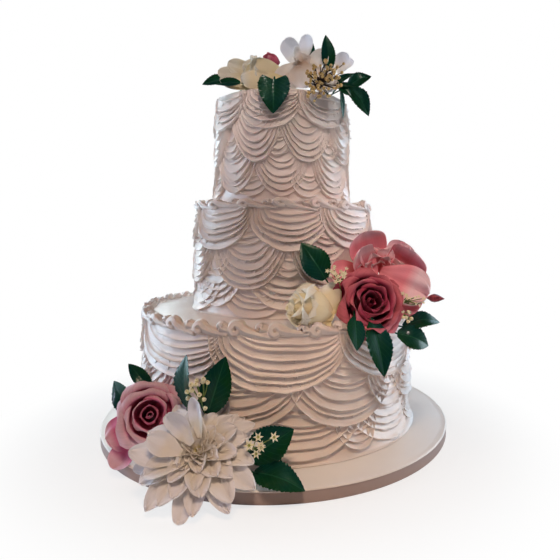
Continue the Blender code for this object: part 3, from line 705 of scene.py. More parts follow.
def rose(bloom):
    """A rose of layers (petals, radius at foot, belly and rim, spread, height, roll, point, tone), from the eye out,
    with the petals in laid, which are placed one by one, as its loose outer ones."""
    source = np.random.default_rng(bloom.seed)
    size = bloom.radius * MM
    petals = []
    turned = source.uniform(0, 2 * math.pi)
    for count, foot, belly, rim, spread, height, roll, point, tone in bloom.layers:
        for step in range(count):
            turned += 2 * math.pi / count + source.uniform(-0.12, 0.12)
            scale = size * source.uniform(0.95, 1.05)
            shape = wound_petal(turned, spread, foot * size, belly * scale, rim * scale, height * scale,
                                roll * size * source.uniform(0.8, 1.2), point * size, int(source.integers(1e6)),
                                bloom.depth * size)
            petals.append((*petal_mesh(shape, 16, 20, True), tone + source.uniform(-0.12, 0.12)))
        turned += math.pi / max(count, 1)
    laid = [(*petal_mesh(spread_petal(petal, bloom.seed + at), 16, 16), petal.tone)
            for at, petal in enumerate(bloom.laid)]
    return join_petals(bloom.node + "_petals", petals, bloom.axis, [c * MM for c in bloom.centre], bloom.material, laid)


# In the rose layers the last column, tone, paints shade: inner petals lean to the darker foot colour as painted shade
# in the eye, outer ones a little towards the rim.
FULL_ROSE = [
    (3, 0.02, 0.11, 0.09, 2.2, 0.96, 0.012, 0, -0.5), (3, 0.05, 0.30, 0.28, 1.7, 1.01, 0.03, 0, -0.3),
    (3, 0.09, 0.54, 0.52, 1.35, 1.03, 0.07, 0, 0.0), (3, 0.14, 0.76, 0.74, 1.25, 0.98, 0.13, 0, 0.1),
    (4, 0.18, 0.90, 0.90, 1.1, 0.86, 0.16, 0, 0.1), (5, 0.18, 0.86, 0.80, 0.9, 0.5, 0.10, 0, 0.1)]
POINTED_ROSE = [
    (3, 0.02, 0.12, 0.09, 2.2, 0.88, 0.01, 0.04, -0.5), (3, 0.06, 0.28, 0.27, 1.6, 0.98, 0.03, 0.08, -0.35),
    (3, 0.10, 0.44, 0.44, 1.35, 1.02, 0.06, 0.12, -0.2), (4, 0.14, 0.60, 0.62, 1.15, 0.97, 0.09, 0.15, 0.0),
    (4, 0.18, 0.74, 0.78, 1.0, 0.84, 0.12, 0.18, 0.1), (5, 0.20, 0.80, 0.92, 0.85, 0.60, 0.13, 0.20, 0.1)]
HALF_OPEN_ROSE = [
    (3, 0.03, 0.20, 0.14, 2.2, 2.95, 0.02, 0, -0.3), (3, 0.06, 0.42, 0.36, 1.6, 3.10, 0.05, 0, -0.2),
    (3, 0.10, 0.64, 0.60, 1.35, 3.25, 0.10, 0, -0.1), (3, 0.14, 0.84, 0.82, 1.3, 3.15, 0.16, 0, 0.0),
    (4, 0.20, 1.00, 1.04, 1.15, 2.80, 0.22, 0.08, 0.2), (4, 0.20, 1.10, 1.22, 1.0, 2.45, 0.16, 0.12, 0.3)]
Petal = namedtuple("Petal", "base tip width face bow cup end wave tone")
LOW_MAUVE = [
    Petal((-126, -136, 46), (-153, -146, 31), 36, (-0.25, -0.85, 0.45), 0.10, -0.20, 2.8, 0.03, 0.1),
    Petal((-124, -144, 36), (-142, -159, 10), 28, (-0.20, -0.70, 0.70), 0.10, 0.35, 2.8, 0.03, 0.3),
    Petal((-100, -136, 56), (-79, -132, 67), 30, (0.20, -0.90, 0.30), 0.08, -0.20, 3.0, 0.02, 0.1)]
LOW_BRICK = [
    Petal((88, -120, 158), (61, -131, 172), 32, (-0.20, -0.90, 0.20), 0.10, -0.20, 2.0, 0.03, 0.0),
    Petal((92, -124, 152), (75, -137, 141), 28, (-0.10, -0.90, 0.40), 0.10, -0.15, 1.8, 0.03, 0.0)]
LOW_CREAM_LEDGE = [
    Petal((64, -132, 150), (27, -137, 174), 28, (-0.40, -0.80, 0.45), -0.02, -0.30, 4.5, 0.04, 0.3),
    Petal((64, -138, 148), (21, -146, 165), 26, (-0.35, -0.85, 0.40), -0.02, -0.30, 3.6, 0.04, 0.3),
    Petal((62, -138, 143), (19, -152, 154), 24, (-0.20, -0.80, 0.60), 0.10, 0.20, 2.6, 0.04, 0.4),
    Petal((68, -130, 152), (52, -133, 176), 32, (0.10, -0.90, 0.40), -0.06, -0.25, 6.0, 0.03, 0.1)]
LOW_CREAM_TOP = [
    Petal((-2, -56, 400), (-64, -60, 402), 30, (-0.20, -0.80, 0.55), 0.10, 0.30, 3.0, 0.03, 0.2),
    Petal((0, -52, 406), (-68, -52, 412), 26, (-0.30, -0.80, 0.50), 0.12, 0.30, 3.2, 0.03, 0.3),
    Petal((0, -46, 410), (-58, -44, 424), 26, (-0.30, -0.80, 0.50), 0.10, 0.30, 3.6, 0.03, 0.2),
    Petal((14, -46, 410), (-40, -46, 425), 36, (-0.10, -0.80, 0.60), -0.08, -0.40, 3.0, 0.02, 0.0),
    Petal((12, -56, 402), (-40, -62, 404), 34, (0.00, -0.85, 0.50), -0.10, -0.40, 3.0, 0.02, 0.0)]

# The first colour of each silk, its foot, is darker than the petal: painted shade deep in the flower.
mauve_silk = silk("mauve dyed silk", "#A81A50", "#EC7CA4", "#FFD6E4", 0.2)
brick_silk = silk("brick dyed silk", "#5E0828", "#B13354", "#D8707C", 0.25)
cream_silk = silk("cream silk", "#EEDE94", "#FFF3CC", "#FFFCEC", 0.05)

Bloom = namedtuple("Bloom", "node radius depth centre axis material layers seed slot laid")
ROSES = [
    Bloom("rose_mauve", 25.5, 0.55, (-112, -144, 54), (0.30, -0.88, 0.37), mauve_silk, FULL_ROSE, 3, "petal_mauve", LOW_MAUVE),
    Bloom("rose_brick", 32, 0.55, (100, -119, 159), (0.22, -0.90, 0.36), brick_silk, POINTED_ROSE, 5, "petal_brick", LOW_BRICK),
    Bloom("rose_cream_ledge", 14.5, 1.6, (43, -135, 156), (-0.88, -0.40, 0.25), cream_silk, HALF_OPEN_ROSE, 8, "petal_cream",
          LOW_CREAM_LEDGE),
    Bloom("rose_cream_top", 13, 2.2, (-24, -48, 412), (-0.98, -0.10, 0.12), cream_silk, HALF_OPEN_ROSE, 14, "petal_cream",
          LOW_CREAM_TOP),
]
for bloom in ROSES:
    flower = rose(bloom)
    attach(flower, "root")
    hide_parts(bloom.node)

# ---------------------------------------------------------------------------------------------
# Open flowers of the same silk: a white dahlia, a coral peony, a white magnolia-like bloom with a
# pink bud and a small blossom beside it. Their petals are flat-cut, cupped and wired to the eye.


def ray_petal(middle, start, length, width, lean, cup, tip, seed, ruffle=0.0, notch=0.0, sink=0.0, spin=0.0):
    """A petal about +Z that starts at the radius start and curves from lean[0] to lean[1] off the axis.

    cup lifts its sides towards the axis, tip sharpens it, ruffle waves its rim and notch cuts it."""
    source = np.random.default_rng(seed)
    phases = source.uniform(0, 2 * math.pi, 4)
    bend = source.uniform(-0.12, 0.12)
    steps = 40
    angles = [lean[0] + (lean[1] - lean[0]) * (step / steps) ** 1.2 for step in range(steps)]
    run = np.concatenate([[0], np.cumsum([math.sin(a) for a in angles])]) * length / steps
    rise = np.concatenate([[0], np.cumsum([math.cos(a) for a in angles])]) * length / steps

    def shape(a, b):
        half = 0.5 * width * (0.26 + 0.74 * math.sin(math.pi / 2 * min(1.0, b / 0.6)) ** 1.1)
        half *= max(0.02, 1 - max(0.0, (b - 0.6) / 0.4) ** (2.6 - 1.2 * tip)) ** (0.5 + 0.3 * tip)
        cut = notch * (0.5 + 0.5 * math.sin(9 * a + phases[3])) * max(0.0, b - 0.7) * 1.6
        at = min(1.0, max(0.0, b - cut)) * steps
        low = min(steps - 1, int(at))
        part = at - low
        out = run[low] * (1 - part) + run[low + 1] * part
        up = rise[low] * (1 - part) + rise[low + 1] * part
        lean_here = lean[0] + (lean[1] - lean[0]) * (at / steps) ** 1.2
        lift = half * (cup * a * a + 0.14 * abs(a) + spin * a)
        lift += ruffle * width * b ** 2 * (math.sin(5.2 * a + phases[0]) + 0.7 * math.sin(9.7 * a + phases[1] + 3 * b))
        lift += 0.03 * width * math.sin(5 * b + phases[2]) + 0.25 * cup * width * max(0.0, b - 0.75) ** 1.5
        out += start - lift * math.cos(lean_here)
        up += lift * math.sin(lean_here) - sink
        side = a * half + bend * length * b * b * 0.5
        return out * math.cos(middle) - side * math.sin(middle), out * math.sin(middle) + side * math.cos(middle), up
    return shape


def open_flower(bloom, ruffle):
    """A flower of layers (petals, first angle, start, length, width, leans, cup, tip, notch, tone), in radii."""
    source = np.random.default_rng(bloom.seed)
    petals = []
    for count, first, start, length, width, lean, cup, tip, notch, tone in bloom.layers:
        for step in range(count):
            turned = math.radians(first + source.uniform(-6, 6)) + 2 * math.pi * step / count
            scale = bloom.radius * MM * source.uniform(0.9, 1.06)
            leans = [math.radians(angle + source.uniform(-6, 6)) for angle in lean]
            shape = ray_petal(turned, start * bloom.radius * MM, length * scale, width * scale * source.uniform(0.88, 1.14),
                              leans, cup * source.uniform(0.6, 1.4), tip, int(source.integers(1e6)), ruffle, notch,
                              bloom.depth * bloom.radius * MM, source.uniform(-0.3, 0.3))
            petals.append((*petal_mesh(shape, 12, 14), tone + source.uniform(-0.1, 0.1)))
    laid = [(*petal_mesh(spread_petal(petal, bloom.seed + at), 16, 16), petal.tone)
            for at, petal in enumerate(bloom.laid)]
    return join_petals(bloom.node + "_petals", petals, bloom.axis, [c * MM for c in bloom.centre], bloom.material, laid)


# In these layers tone paints light and shade: the dahlia's inner rings lean to the darker yellow foot as painted shade
# in its centre, the peony's inner ruffles are set paler as painted light.
DAHLIA = [
    (10, 12, 0.05, 1.04, 0.36, (82, 112), 0.20, 0.6, 0, 0.4), (10, 30, 0.05, 0.96, 0.37, (74, 104), 0.25, 0.4, 0, 0.3),
    (9, 12, 0.05, 0.82, 0.36, (60, 98), 0.30, 0.3, 0.1, 0.2), (9, 32, 0.05, 0.66, 0.34, (48, 88), 0.4, 0.3, 0, 0.2),
    (8, 8, 0.05, 0.49, 0.29, (38, 80), 0.6, 0.2, 0.1, 0.1), (8, 20, 0.05, 0.36, 0.23, (26, 74), 0.8, 0.1, 0.1, -0.1),
    (7, 50, 0.05, 0.27, 0.18, (10, 66), 1.0, 0.1, 0.1, -0.3), (5, 10, 0.04, 0.20, 0.14, (0, 50), 1.2, 0.1, 0, -0.6),
    (3, 40, 0.02, 0.15, 0.10, (-8, 24), 1.2, 0.1, 0, -0.8)]
PEONY = [
    (5, 20, 0.05, 0.60, 0.55, (92, 80), 0.25, 0.0, 0.02, 0.1), (6, 10, 0.08, 0.62, 0.44, (80, 46), 0.4, 0.0, 0.3, 0.4),
    (6, 50, 0.06, 0.52, 0.34, (56, 24), 0.4, 0.0, 0.5, 0.3), (5, 10, 0.04, 0.40, 0.26, (34, 10), 0.4, 0.0, 0.6, 0.2)]
MAGNOLIA = [(5, 20, 0.04, 0.60, 0.45, (60, 40), 0.3, 0.1, 0, -0.2)]
BUD = [(3, 0, 0.20, 2.2, 1.5, (30, -10), 0.5, 0.3, 0, 0.0), (3, 60, 0.10, 2.3, 1.3, (16, -6), 0.5, 0.3, 0, -0.2)]
BLOSSOM = [(5, 20, 0.08, 1.05, 0.95, (60, 46), 0.3, 0.1, 0.0, 0.2), (4, 50, 0.05, 0.6, 0.5, (25, 5), 0.5, 0.1, 0, -0.1)]
# In the laid petals below, tone also paints light: petals that face the windows or lamps are set towards the pale rim
# colour as painted light, those low in the heart towards the foot as painted shade.
DAHLIA_PETALS = [
    Petal((-52, -196, 54), (-60, -190, 87), 22, (-0.70, -0.60, 0.25), 0.08, 0.35, 2.0, 0.03, 0.7),
    Petal((-56, -202, 52), (-79, -196, 75), 22, (-0.70, -0.50, 0.45), 0.08, 0.40, 2.2, 0.04, 0.7),
    Petal((-64, -208, 46), (-93, -206, 59), 20, (-0.50, -0.50, 0.70), 0.08, 0.25, 2.2, 0.03, 0.6),
    Petal((-64, -210, 42), (-109, -206, 47), 20, (-0.60, -0.55, 0.60), 0.08, 0.30, 1.6, 0.04, 0.7)]
PEONY_PETALS = [
    Petal((110, -80, 188), (98, -90, 231), 46, (0.10, -0.80, 0.55), 0.20, 0.45, 3.4, 0.02, 0.1),
    Petal((130, -66, 194), (148, -62, 218), 36, (-0.10, -0.80, 0.60), 0.10, 0.30, 2.6, 0.03, 1.0),
    Petal((128, -86, 174), (150, -97, 211), 46, (-0.15, -0.85, 0.50), 0.14, 0.45, 6.0, 0.01, 0.0),
    Petal((114, -98, 190), (162, -108, 166), 42, (-0.10, -0.90, 0.30), -0.06, 0.10, 2.6, 0.10, 0.5),
    Petal((116, -94, 180), (154, -104, 152), 40, (0.00, -0.85, 0.40), 0.05, 0.20, 3.0, 0.03, -0.3),
    Petal((98, -92, 190), (62, -106, 186), 30, (0.20, -0.90, 0.35), 0.10, 0.30, 3.0, 0.03, -0.2),
    Petal((108, -94, 182), (92, -106, 214), 36, (0.45, -0.80, 0.40), 0.24, 0.60, 3.6, 0.02, 0.5),
    Petal((104, -88, 182), (84, -104, 165), 30, (0.10, -0.90, -0.20), 0.10, 0.30, 3.0, 0.02, 0.0)]
BLOOM_PETALS = [
    Petal((25, -44, 423), (7, -40, 454), 24, (-0.70, -0.60, 0.35), 0.10, 0.25, 3.5, 0.01, 0.6),
    Petal((30, -42, 427), (32, -42, 460), 20, (-0.55, -0.80, 0.20), 0.10, 0.25, 3.0, 0.01, 0.6),
    Petal((32, -46, 423), (57, -46, 437), 24, (-0.10, -0.90, 0.40), 0.12, 0.35, 3.2, 0.01, -0.1),
    Petal((72, -30, 418), (77, -30, 444), 17, (-0.20, -0.90, 0.30), 0.12, 0.35, 3.0, 0.01, 0.6),
    Petal((28, -48, 426), (1, -62, 401), 26, (-0.20, -0.95, 0.30), 0.06, 0.20, 2.4, 0.01, 0.2),
    Petal((29, -50, 424), (32, -72, 389), 32, (-0.05, -0.85, 0.50), -0.08, 0.25, 3.4, 0.02, 0.0),
    Petal((34, -46, 420), (58, -60, 401), 26, (0.00, -0.80, 0.60), 0.05, 0.30, 3.0, 0.02, -0.2),
    Petal((24, -54, 410), (2, -72, 389), 32, (-0.10, -0.90, 0.50), 0.05, 0.20, 3.0, 0.03, 0.2),
    Petal((44, -50, 408), (64, -62, 390), 30, (0.10, -0.90, 0.50), 0.05, 0.20, 3.0, 0.03, 0.0),
    Petal((29, -50, 425), (20, -62, 438), 15, (0.30, -0.80, 0.50), 0.15, 0.50, 3.0, 0.02, 0.0)]

# The white silk's yellow foot is partly the dahlia centre's own colour and partly painted shade between its inner
# petals.
white_silk = silk("white silk", "#F6ECA8", "#FDF8F0", "#FFFDFF", 0.04, 0.25)
coral_silk = silk("coral dyed silk", "#E05464", "#FF9EA8", "#FFDCE0", 0.1, 0.12)
blush_silk = silk("blush white silk", "#EEDCC8", "#FCF6F0", "#FFFCFE", 0.04, 0.5)
pink_silk = silk("deep pink dyed silk", "#8A1C34", "#D0566E", "#E48C9C", 0.2)

OPEN_FLOWERS = [
    (Bloom("dahlia_white", 53, 0.20, (-53, -198, 46), (-0.02, -0.64, 0.77), white_silk, DAHLIA, 21, "petal_white", DAHLIA_PETALS), 0.04),
    (Bloom("peony_coral", 46, 0.10, (113, -88, 188), (0.02, -0.90, 0.40), coral_silk, PEONY, 24, "petal_coral", PEONY_PETALS), 0.03),
    (Bloom("bloom_white", 24, 0.15, (29, -46, 425), (0.06, -0.88, 0.46), blush_silk, MAGNOLIA, 27, "petal_blush", BLOOM_PETALS), 0.012),
    (Bloom("bud_pink", 9, 1.0, (-9, -14, 439), (-0.85, -0.35, 0.35), pink_silk, BUD, 31, "petal_pink", []), 0.02),
    (Bloom("blossom_small", 18, 0.30, (73, -10, 434), (-0.10, -0.80, 0.60), blush_silk, BLOSSOM, 35, "petal_blush", []), 0.02),
]
for bloom, ruffle in OPEN_FLOWERS:
    flower = open_flower(bloom, ruffle)
    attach(flower, "root")
    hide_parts(bloom.node)

# ---------------------------------------------------------------------------------------------
# Seed pod. A spindle of cotton wound on wire, dipped in maroon wax, that pokes out past the peony
# at the ledge; its wire runs back into the foam behind the flowers.

def waxed_pod():
    """Maroon dip wax over cotton: a soft gloss, darker in patches where it pooled."""
    material, tree, shader = start_material("maroon dip wax", Roughness=0.4, IOR=1.44, Coat_Weight=0.2)
    coords = add_node(tree, "ShaderNodeTexCoord")
    pooled = add_node(tree, "ShaderNodeTexNoise", {"Vector": coords.outputs["Object"], "Scale": 1 / (3 * MM), "Detail": 3.0})
    tint = add_node(tree, "ShaderNodeValToRGB", {"Fac": pooled.outputs["Fac"]})
    tint.color_ramp.elements[0].position = 0.3
    tint.color_ramp.elements[0].color = colour("#5A1624")
    tint.color_ramp.elements[1].position = 0.75
    tint.color_ramp.elements[1].color = colour("#A84A52")
    tree.links.new(tint.outputs["Color"], shader.inputs["Base Color"])
    relief = add_node(tree, "ShaderNodeBump", {"Height": pooled.outputs["Fac"], "Strength": 0.4, "Distance": 0.3 * MM})
    tree.links.new(relief.outputs["Normal"], shader.inputs["Normal"])
    return material


pod_low, pod_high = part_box("pod_ledge")
pod_middle = (pod_low + pod_high) / 2
points, faces = [(pod_low.x - 14 * MM, pod_middle.y, pod_middle.z + 3 * MM)], []
POD = [(-0.45, 0.7, 2.4), (0.0, 0.7, 1.2), (0.30, 0.8, 0.6), (0.38, 1.8, 0.3), (0.48, 3.6, 0), (0.60, 4.4, 0), (0.74, 3.8, 0),
       (0.86, 2.2, -0.2), (0.94, 1.0, -0.4)]
for along, radius, lift in POD:
    for step in range(20):
        angle = math.pi * step / 10
        wide = radius * (1 + (0.10 * math.cos(5 * angle) if radius > 1 else 0)) * MM
        points.append((pod_low.x + along * (pod_high.x - pod_low.x), pod_middle.y + wide * math.cos(angle),
                       pod_middle.z + lift * MM + wide * math.sin(angle)))
points.append((pod_high.x, pod_middle.y, pod_middle.z - 0.6 * MM))
for step in range(20):
    after = (step + 1) % 20
    faces.append((0, 1 + after, 1 + step))
    for ring in range(len(POD) - 1):
        a = 1 + ring * 20
        faces.append((a + step, a + after, a + 20 + after, a + 20 + step))
    faces.append((len(points) - 21 + step, len(points) - 21 + after, len(points) - 1))
pod = add_piece("pod_ledge_wax", points, faces, waxed_pod())
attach(pod, "root")
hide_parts("pod_ledge")

# ---------------------------------------------------------------------------------------------
# Leaves. Stamped from waxed green cloth with a toothed edge, veins pressed in, a wire glued down
# the back of the midrib and left as a stalk that is pushed into the icing behind the flowers.

LEAF_THICKNESS = 0.5 * MM
TEETH = 15
Leaf = namedtuple("Leaf", "node root base tip width face arch heart")


def leaf_green():
    """Waxed polyester cloth: deep green, glossy, with paler veins; one half is painted a colder teal, a painted
    reflection of the cool windows.
    """
    material, tree, shader = start_material("waxed green leaf cloth", Roughness=0.42, IOR=1.45, Coat_Weight=0.25,
                                            Coat_Roughness=0.15, Specular_IOR_Level=0.35, Specular_Tint=colour("#7FD8C4"))
    place = add_node(tree, "ShaderNodeUVMap", uv_map="leaf")
    split = add_node(tree, "ShaderNodeSeparateXYZ", {"Vector": place.outputs["UV"]})
    half = add_node(tree, "ShaderNodeMath", {0: split.outputs["X"]}, operation="ABSOLUTE")
    # Side veins leave the midrib at a slant, nine on each half.
    slant = add_node(tree, "ShaderNodeMath", {0: half.outputs[0], 1: -0.30, 2: split.outputs["Y"]}, operation="MULTIPLY_ADD")
    wave = add_node(tree, "ShaderNodeMath", {0: slant.outputs[0], 1: 9.0}, operation="MULTIPLY")
    saw = add_node(tree, "ShaderNodeMath", {0: wave.outputs[0], 1: 0.5}, operation="PINGPONG")
    side_vein = add_node(tree, "ShaderNodeMapRange", {"Value": saw.outputs[0], "From Min": 0.0, "From Max": 0.09,
                                                      "To Min": 1.0, "To Max": 0.0})
    midrib = add_node(tree, "ShaderNodeMapRange", {"Value": half.outputs[0], "From Min": 0.02, "From Max": 0.06,
                                                   "To Min": 1.0, "To Max": 0.0})
    vein = add_node(tree, "ShaderNodeMath", {0: side_vein.outputs[0], 1: 0.45, 2: midrib.outputs[0]},
                    operation="MULTIPLY_ADD", use_clamp=True)
    coords = add_node(tree, "ShaderNodeTexCoord")
    mottle = add_node(tree, "ShaderNodeTexNoise", {"Vector": coords.outputs["Object"], "Scale": 1 / (9 * MM), "Detail": 3.0})
    # Teal on one half of the leaf, green on the other, with random mottle: the teal half is a painted reflection of the
    # cool windows.
    tone = add_node(tree, "ShaderNodeMath", {0: split.outputs["X"], 1: 0.30, 2: mottle.outputs["Fac"]}, operation="MULTIPLY_ADD")
    green = add_node(tree, "ShaderNodeValToRGB", {"Fac": tone.outputs[0]})
    green.color_ramp.elements[0].position = 0.2
    green.color_ramp.elements[0].color = colour("#00342F")
    green.color_ramp.elements[1].position = 0.85
    green.color_ramp.elements[1].color = colour("#093A18")
    veined = add_node(tree, "ShaderNodeMix", {"Factor": vein.outputs[0], "A": green.outputs["Color"], "B": colour("#1E5238")},
                      data_type="RGBA")
    tree.links.new(veined.outputs["Result"], shader.inputs["Base Color"])
    weave = add_node(tree, "ShaderNodeTexNoise", {"Vector": coords.outputs["Object"], "Scale": 1 / (0.6 * MM)})
    height = add_node(tree, "ShaderNodeMath", {0: vein.outputs[0], 1: -1.6, 2: weave.outputs["Fac"]}, operation="MULTIPLY_ADD")
    relief = add_node(tree, "ShaderNodeBump", {"Height": height.outputs[0], "Strength": 0.35, "Distance": 0.25 * MM})
    tree.links.new(relief.outputs["Normal"], shader.inputs["Normal"])
    return material


def leaf_shape(leaf, seed):
    """The middle surface of a leaf from its base to its tip, folded up along the midrib, with a twist."""
    source = np.random.default_rng(seed)
    base, tip = Vector(leaf.base) * MM, Vector(leaf.tip) * MM
    along = (tip - base).normalized()
    face = Vector(leaf.face)
    face = (face - along * face.dot(along)).normalized()
    across = along.cross(face)
    length = (tip - base).length
    phase = source.uniform(0, 2 * math.pi)
    twist = source.uniform(-0.10, 0.10)

    def shape(a, b):
        if leaf.heart:
            half = math.sin(math.pi * (0.10 + 0.90 * b) ** 0.62) ** 0.8 if b < 1 else 0
            shoulder = -0.13 * length * abs(a) * (1 - b) ** 2
        else:
            half = math.sin(math.pi * min(1.0, 0.04 + 0.96 * b) ** 0.86) ** 0.85
            shoulder = 0
        tooth = 1 + 0.055 * abs(a) ** 4 * (1 - 2 * ((b * TEETH) % 1.0)) * (0.15 < b < 0.97)
        half = max(0.02, half) * tooth * 0.5 * leaf.width * MM
        bow = leaf.arch * MM * math.sin(math.pi * b)
        fold = 0.30 * half * abs(a) - 0.16 * half * a * a
        pinch = 0.045 * half * math.cos(9 * 2 * math.pi * (b - 0.3 * abs(a))) * abs(a)
        wave = 0.06 * half * abs(a) ** 2 * math.sin(7 * b + phase)
        spot = base + along * (b * length + shoulder) + across * (a * half)
        spot += face * (bow + fold + pinch + wave + twist * a * half * b)
        return tuple(spot)
    return shape


LEAVES = [
    Leaf("leaf_foot_1", (-124, -130, 36), (-136, -121, 47), (-163, -103, 74), 22, (-0.3, -0.8, 0.3), 3, False),
    Leaf("leaf_foot_2", (-108, -133, 50), (-116, -126, 72), (-144, -114, 95), 15, (0.2, -0.8, 0.4), 3, False),
    Leaf("leaf_foot_3", (-72, -163, 58), (-70, -167, 70), (-72, -163, 117), 29, (-0.67, -0.58, 0.46), 3, False),
    Leaf("leaf_foot_4", (-50, -168, 52), (-50, -173, 66), (-35, -169, 117), 28, (0.1, -0.9, 0.2), 2, False),
    Leaf("leaf_foot_5", (-24, -176, 24), (-12, -180, 30), (28, -180, 56), 32, (0.2, -0.8, 0.4), 3, False),
    Leaf("leaf_foot_6", (-22, -184, 22), (-6, -190, 22), (39, -207, 15), 28, (0.1, -0.5, 0.85), 5, False),
    Leaf("leaf_ledge_1", (68, -124, 168), (56, -124, 184), (31, -120, 220), 29, (0.1, -0.9, 0.3), 3, False),
    Leaf("leaf_ledge_2", (100, -112, 150), (102, -134, 145), (112, -150, 94), 28, (0.4, -0.8, 0.1), 2, False),
    Leaf("leaf_ledge_3", (86, -116, 152), (84, -140, 149), (85, -160, 121), 19, (0.3, -0.9, 0.1), 1, False),
    Leaf("leaf_ledge_4", (122, -104, 151), (138, -98, 132), (179, -88, 135), 20, (0.0, -0.7, 0.7), 9, False),
    Leaf("leaf_ledge_5", (116, -114, 151), (130, -110, 127), (164, -102, 113), 26, (0.1, -0.8, 0.6), 5, False),
    Leaf("leaf_top_1", (-1, -66, 397), (-0.5, -85, 394), (-1, -89, 357), 34, (0.0, -1.0, 0.1), 1, True),
    Leaf("leaf_top_2", (58, -44, 390), (59, -46, 416), (55, -46, 458), 17, (0.3, -0.9, 0.1), 2, False),
    Leaf("leaf_top_3", (60, -26, 393), (82, -26, 404), (110, -28, 416), 21, (0.2, -0.85, 0.5), 4, False),
    Leaf("leaf_top_4", (62, -30, 392), (82, -34, 402), (106, -40, 366), 25, (0.4, -0.9, 0.3), 5, False),
    Leaf("leaf_top_5", (64, -46, 392), (72, -57, 394), (75, -62, 357), 9, (0.8, -0.6, 0.0), 1, False),
    Leaf("leaf_top_6", (-44, -34, 396), (-61, -32, 410), (-89, -37, 402), 19, (-0.1, -0.8, 0.6), 2, False),
    Leaf("leaf_top_7", (-30, -62, 392), (-40, -66, 396), (-70, -60, 396), 14, (-0.2, -0.8, 0.5), 2, False),
    Leaf("leaf_top_8", (36, -14, 392), (39, -16, 428), (38, -24, 462), 9, (0.2, -0.9, 0.1), 1, False),
]
SEPALS = [
    Leaf("leaf_top_4", (60, -48, 396), (66, -52, 400), (88, -52, 412), 12, (0.0, -0.7, 0.7), 1, False),
    Leaf("leaf_top_4", (60, -48, 396), (66, -54, 398), (90, -54, 396), 12, (0.0, -0.7, 0.7), 1, False),
    Leaf("leaf_top_3", (58, -36, 396), (64, -40, 404), (84, -34, 416), 12, (0.0, -0.7, 0.7), 1, False),
    Leaf("leaf_top_5", (62, -48, 394), (70, -54, 398), (84, -60, 384), 13, (0.3, -0.9, 0.3), 1, False),
]


def stalk(leaf):
    """The bare wire with its green wrap, 1.6 mm thick, from the root to the foot of the blade."""
    root, base = Vector(leaf.root) * MM, Vector(leaf.base) * MM
    along = (Vector(leaf.tip) * MM - base).normalized()
    knee = base - along * (base - root).length * 0.5
    points, faces = [], []
    for ring in range(9):
        share = ring / 8
        spot = root * (1 - share) ** 2 + knee * 2 * share * (1 - share) + (base + along * 2 * MM) * share ** 2
        for step in range(6):
            angle = math.pi * step / 3
            points.append(tuple(spot + Vector((math.cos(angle), 0.6 * math.sin(angle), math.sin(angle))) * 0.8 * MM))
    for ring in range(8):
        for step in range(6):
            a, b = ring * 6 + step, ring * 6 + (step + 1) % 6
            faces.append((a, b, b + 6, a + 6))
    faces += [tuple(range(5, -1, -1)), tuple(range(48, 54))]
    return points, faces


waxed_green = leaf_green()
grown = {}
for number, leaf in enumerate(LEAVES + SEPALS):
    points, faces, places = petal_mesh(leaf_shape(leaf, 50 + number), 12, 4 * TEETH if number < len(LEAVES) else 20, True)
    stem, stem_faces = stalk(leaf)
    parts = grown.setdefault(leaf.node, ([], [], []))
    for more, more_faces, more_places in ((points, faces, places), (stem, stem_faces, [(0.03, 0.1)] * len(stem))):
        parts[1].extend(tuple(len(parts[0]) + index for index in face) for face in more_faces)
        parts[0].extend(tuple(point) for point in more)
        parts[2].extend(more_places)
for node, (points, faces, places) in grown.items():
    blade = add_piece(node + "_blade", points, faces, waxed_green, 60)
    corners = np.empty(len(blade.data.loops), int)
    blade.data.loops.foreach_get("vertex_index", corners)
    blade.data.uv_layers.new(name="leaf").data.foreach_set("uv", np.array(places)[corners].ravel())
    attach(blade, "root")
    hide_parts(node)

# ---------------------------------------------------------------------------------------------
# Filler sprigs. Moulded plastic buds, tiny stars and berries on thin wired stems, tucked between
# the flowers: cream buds and white stars at the foot, cream tufts on the ledge, gold ones on top.

Sprig = namedtuple("Sprig", "node root heads extra kind size material slot")


def bud_template():
    """A bud about 2 across and 2 high, dimpled at its eye, with a few dozen faces."""
    rings, around = 6, 9
    vertices, faces = [(0, 0, -1.0)], []
    for ring in range(1, rings):
        turned = math.pi * ring / rings
        for step in range(around):
            angle = 2 * math.pi * step / around
            swell = 1 + 0.08 * math.cos(3 * angle)
            vertices.append((math.sin(turned) * math.cos(angle) * swell, math.sin(turned) * math.sin(angle) * swell, -math.cos(turned)))
    vertices.append((0, 0, 0.72))
    last = len(vertices) - 1
    for step in range(around):
        after = (step + 1) % around
        faces.append((0, 1 + after, 1 + step))
        for ring in range(rings - 2):
            a = 1 + ring * around
            faces.append((a + step, a + after, a + around + after, a + around + step))
        top = 1 + (rings - 2) * around
        faces.append((top + step, top + after, last))
    return vertices, faces


def star_template(points):
    """A pointed floret of radius 1 that opens towards +Z, on a short throat."""
    around = points * 4
    vertices, faces = [(0, 0, -0.12)], []
    for share in (0.25, 0.55, 0.8, 1.0):
        for step in range(around):
            angle = 2 * math.pi * step / around
            ray = 0.5 + 0.5 * math.cos(points * angle)
            reach = share * (0.42 + 0.58 * ray ** 1.6)
            vertices.append((reach * math.cos(angle), reach * math.sin(angle), 0.30 * reach - 0.10 * share ** 2 + 0.05 * ray))
    for share, height in ((0.38, -0.14), (0.22, -0.5)):
        for step in range(around):
            angle = 2 * math.pi * step / around
            vertices.append((share * math.cos(angle), share * math.sin(angle), height))
    vertices.append((0, 0, -0.7))
    last = len(vertices) - 1
    rings = 6
    for step in range(around):
        after = (step + 1) % around
        faces.append((0, 1 + step, 1 + after))
        for ring in range(rings - 1):
            a = 1 + ring * around
            faces.append((a + step, a + around + step, a + around + after, a + after))
        low = 1 + (rings - 1) * around
        faces.append((low + after, low + step, last))
    return vertices, faces


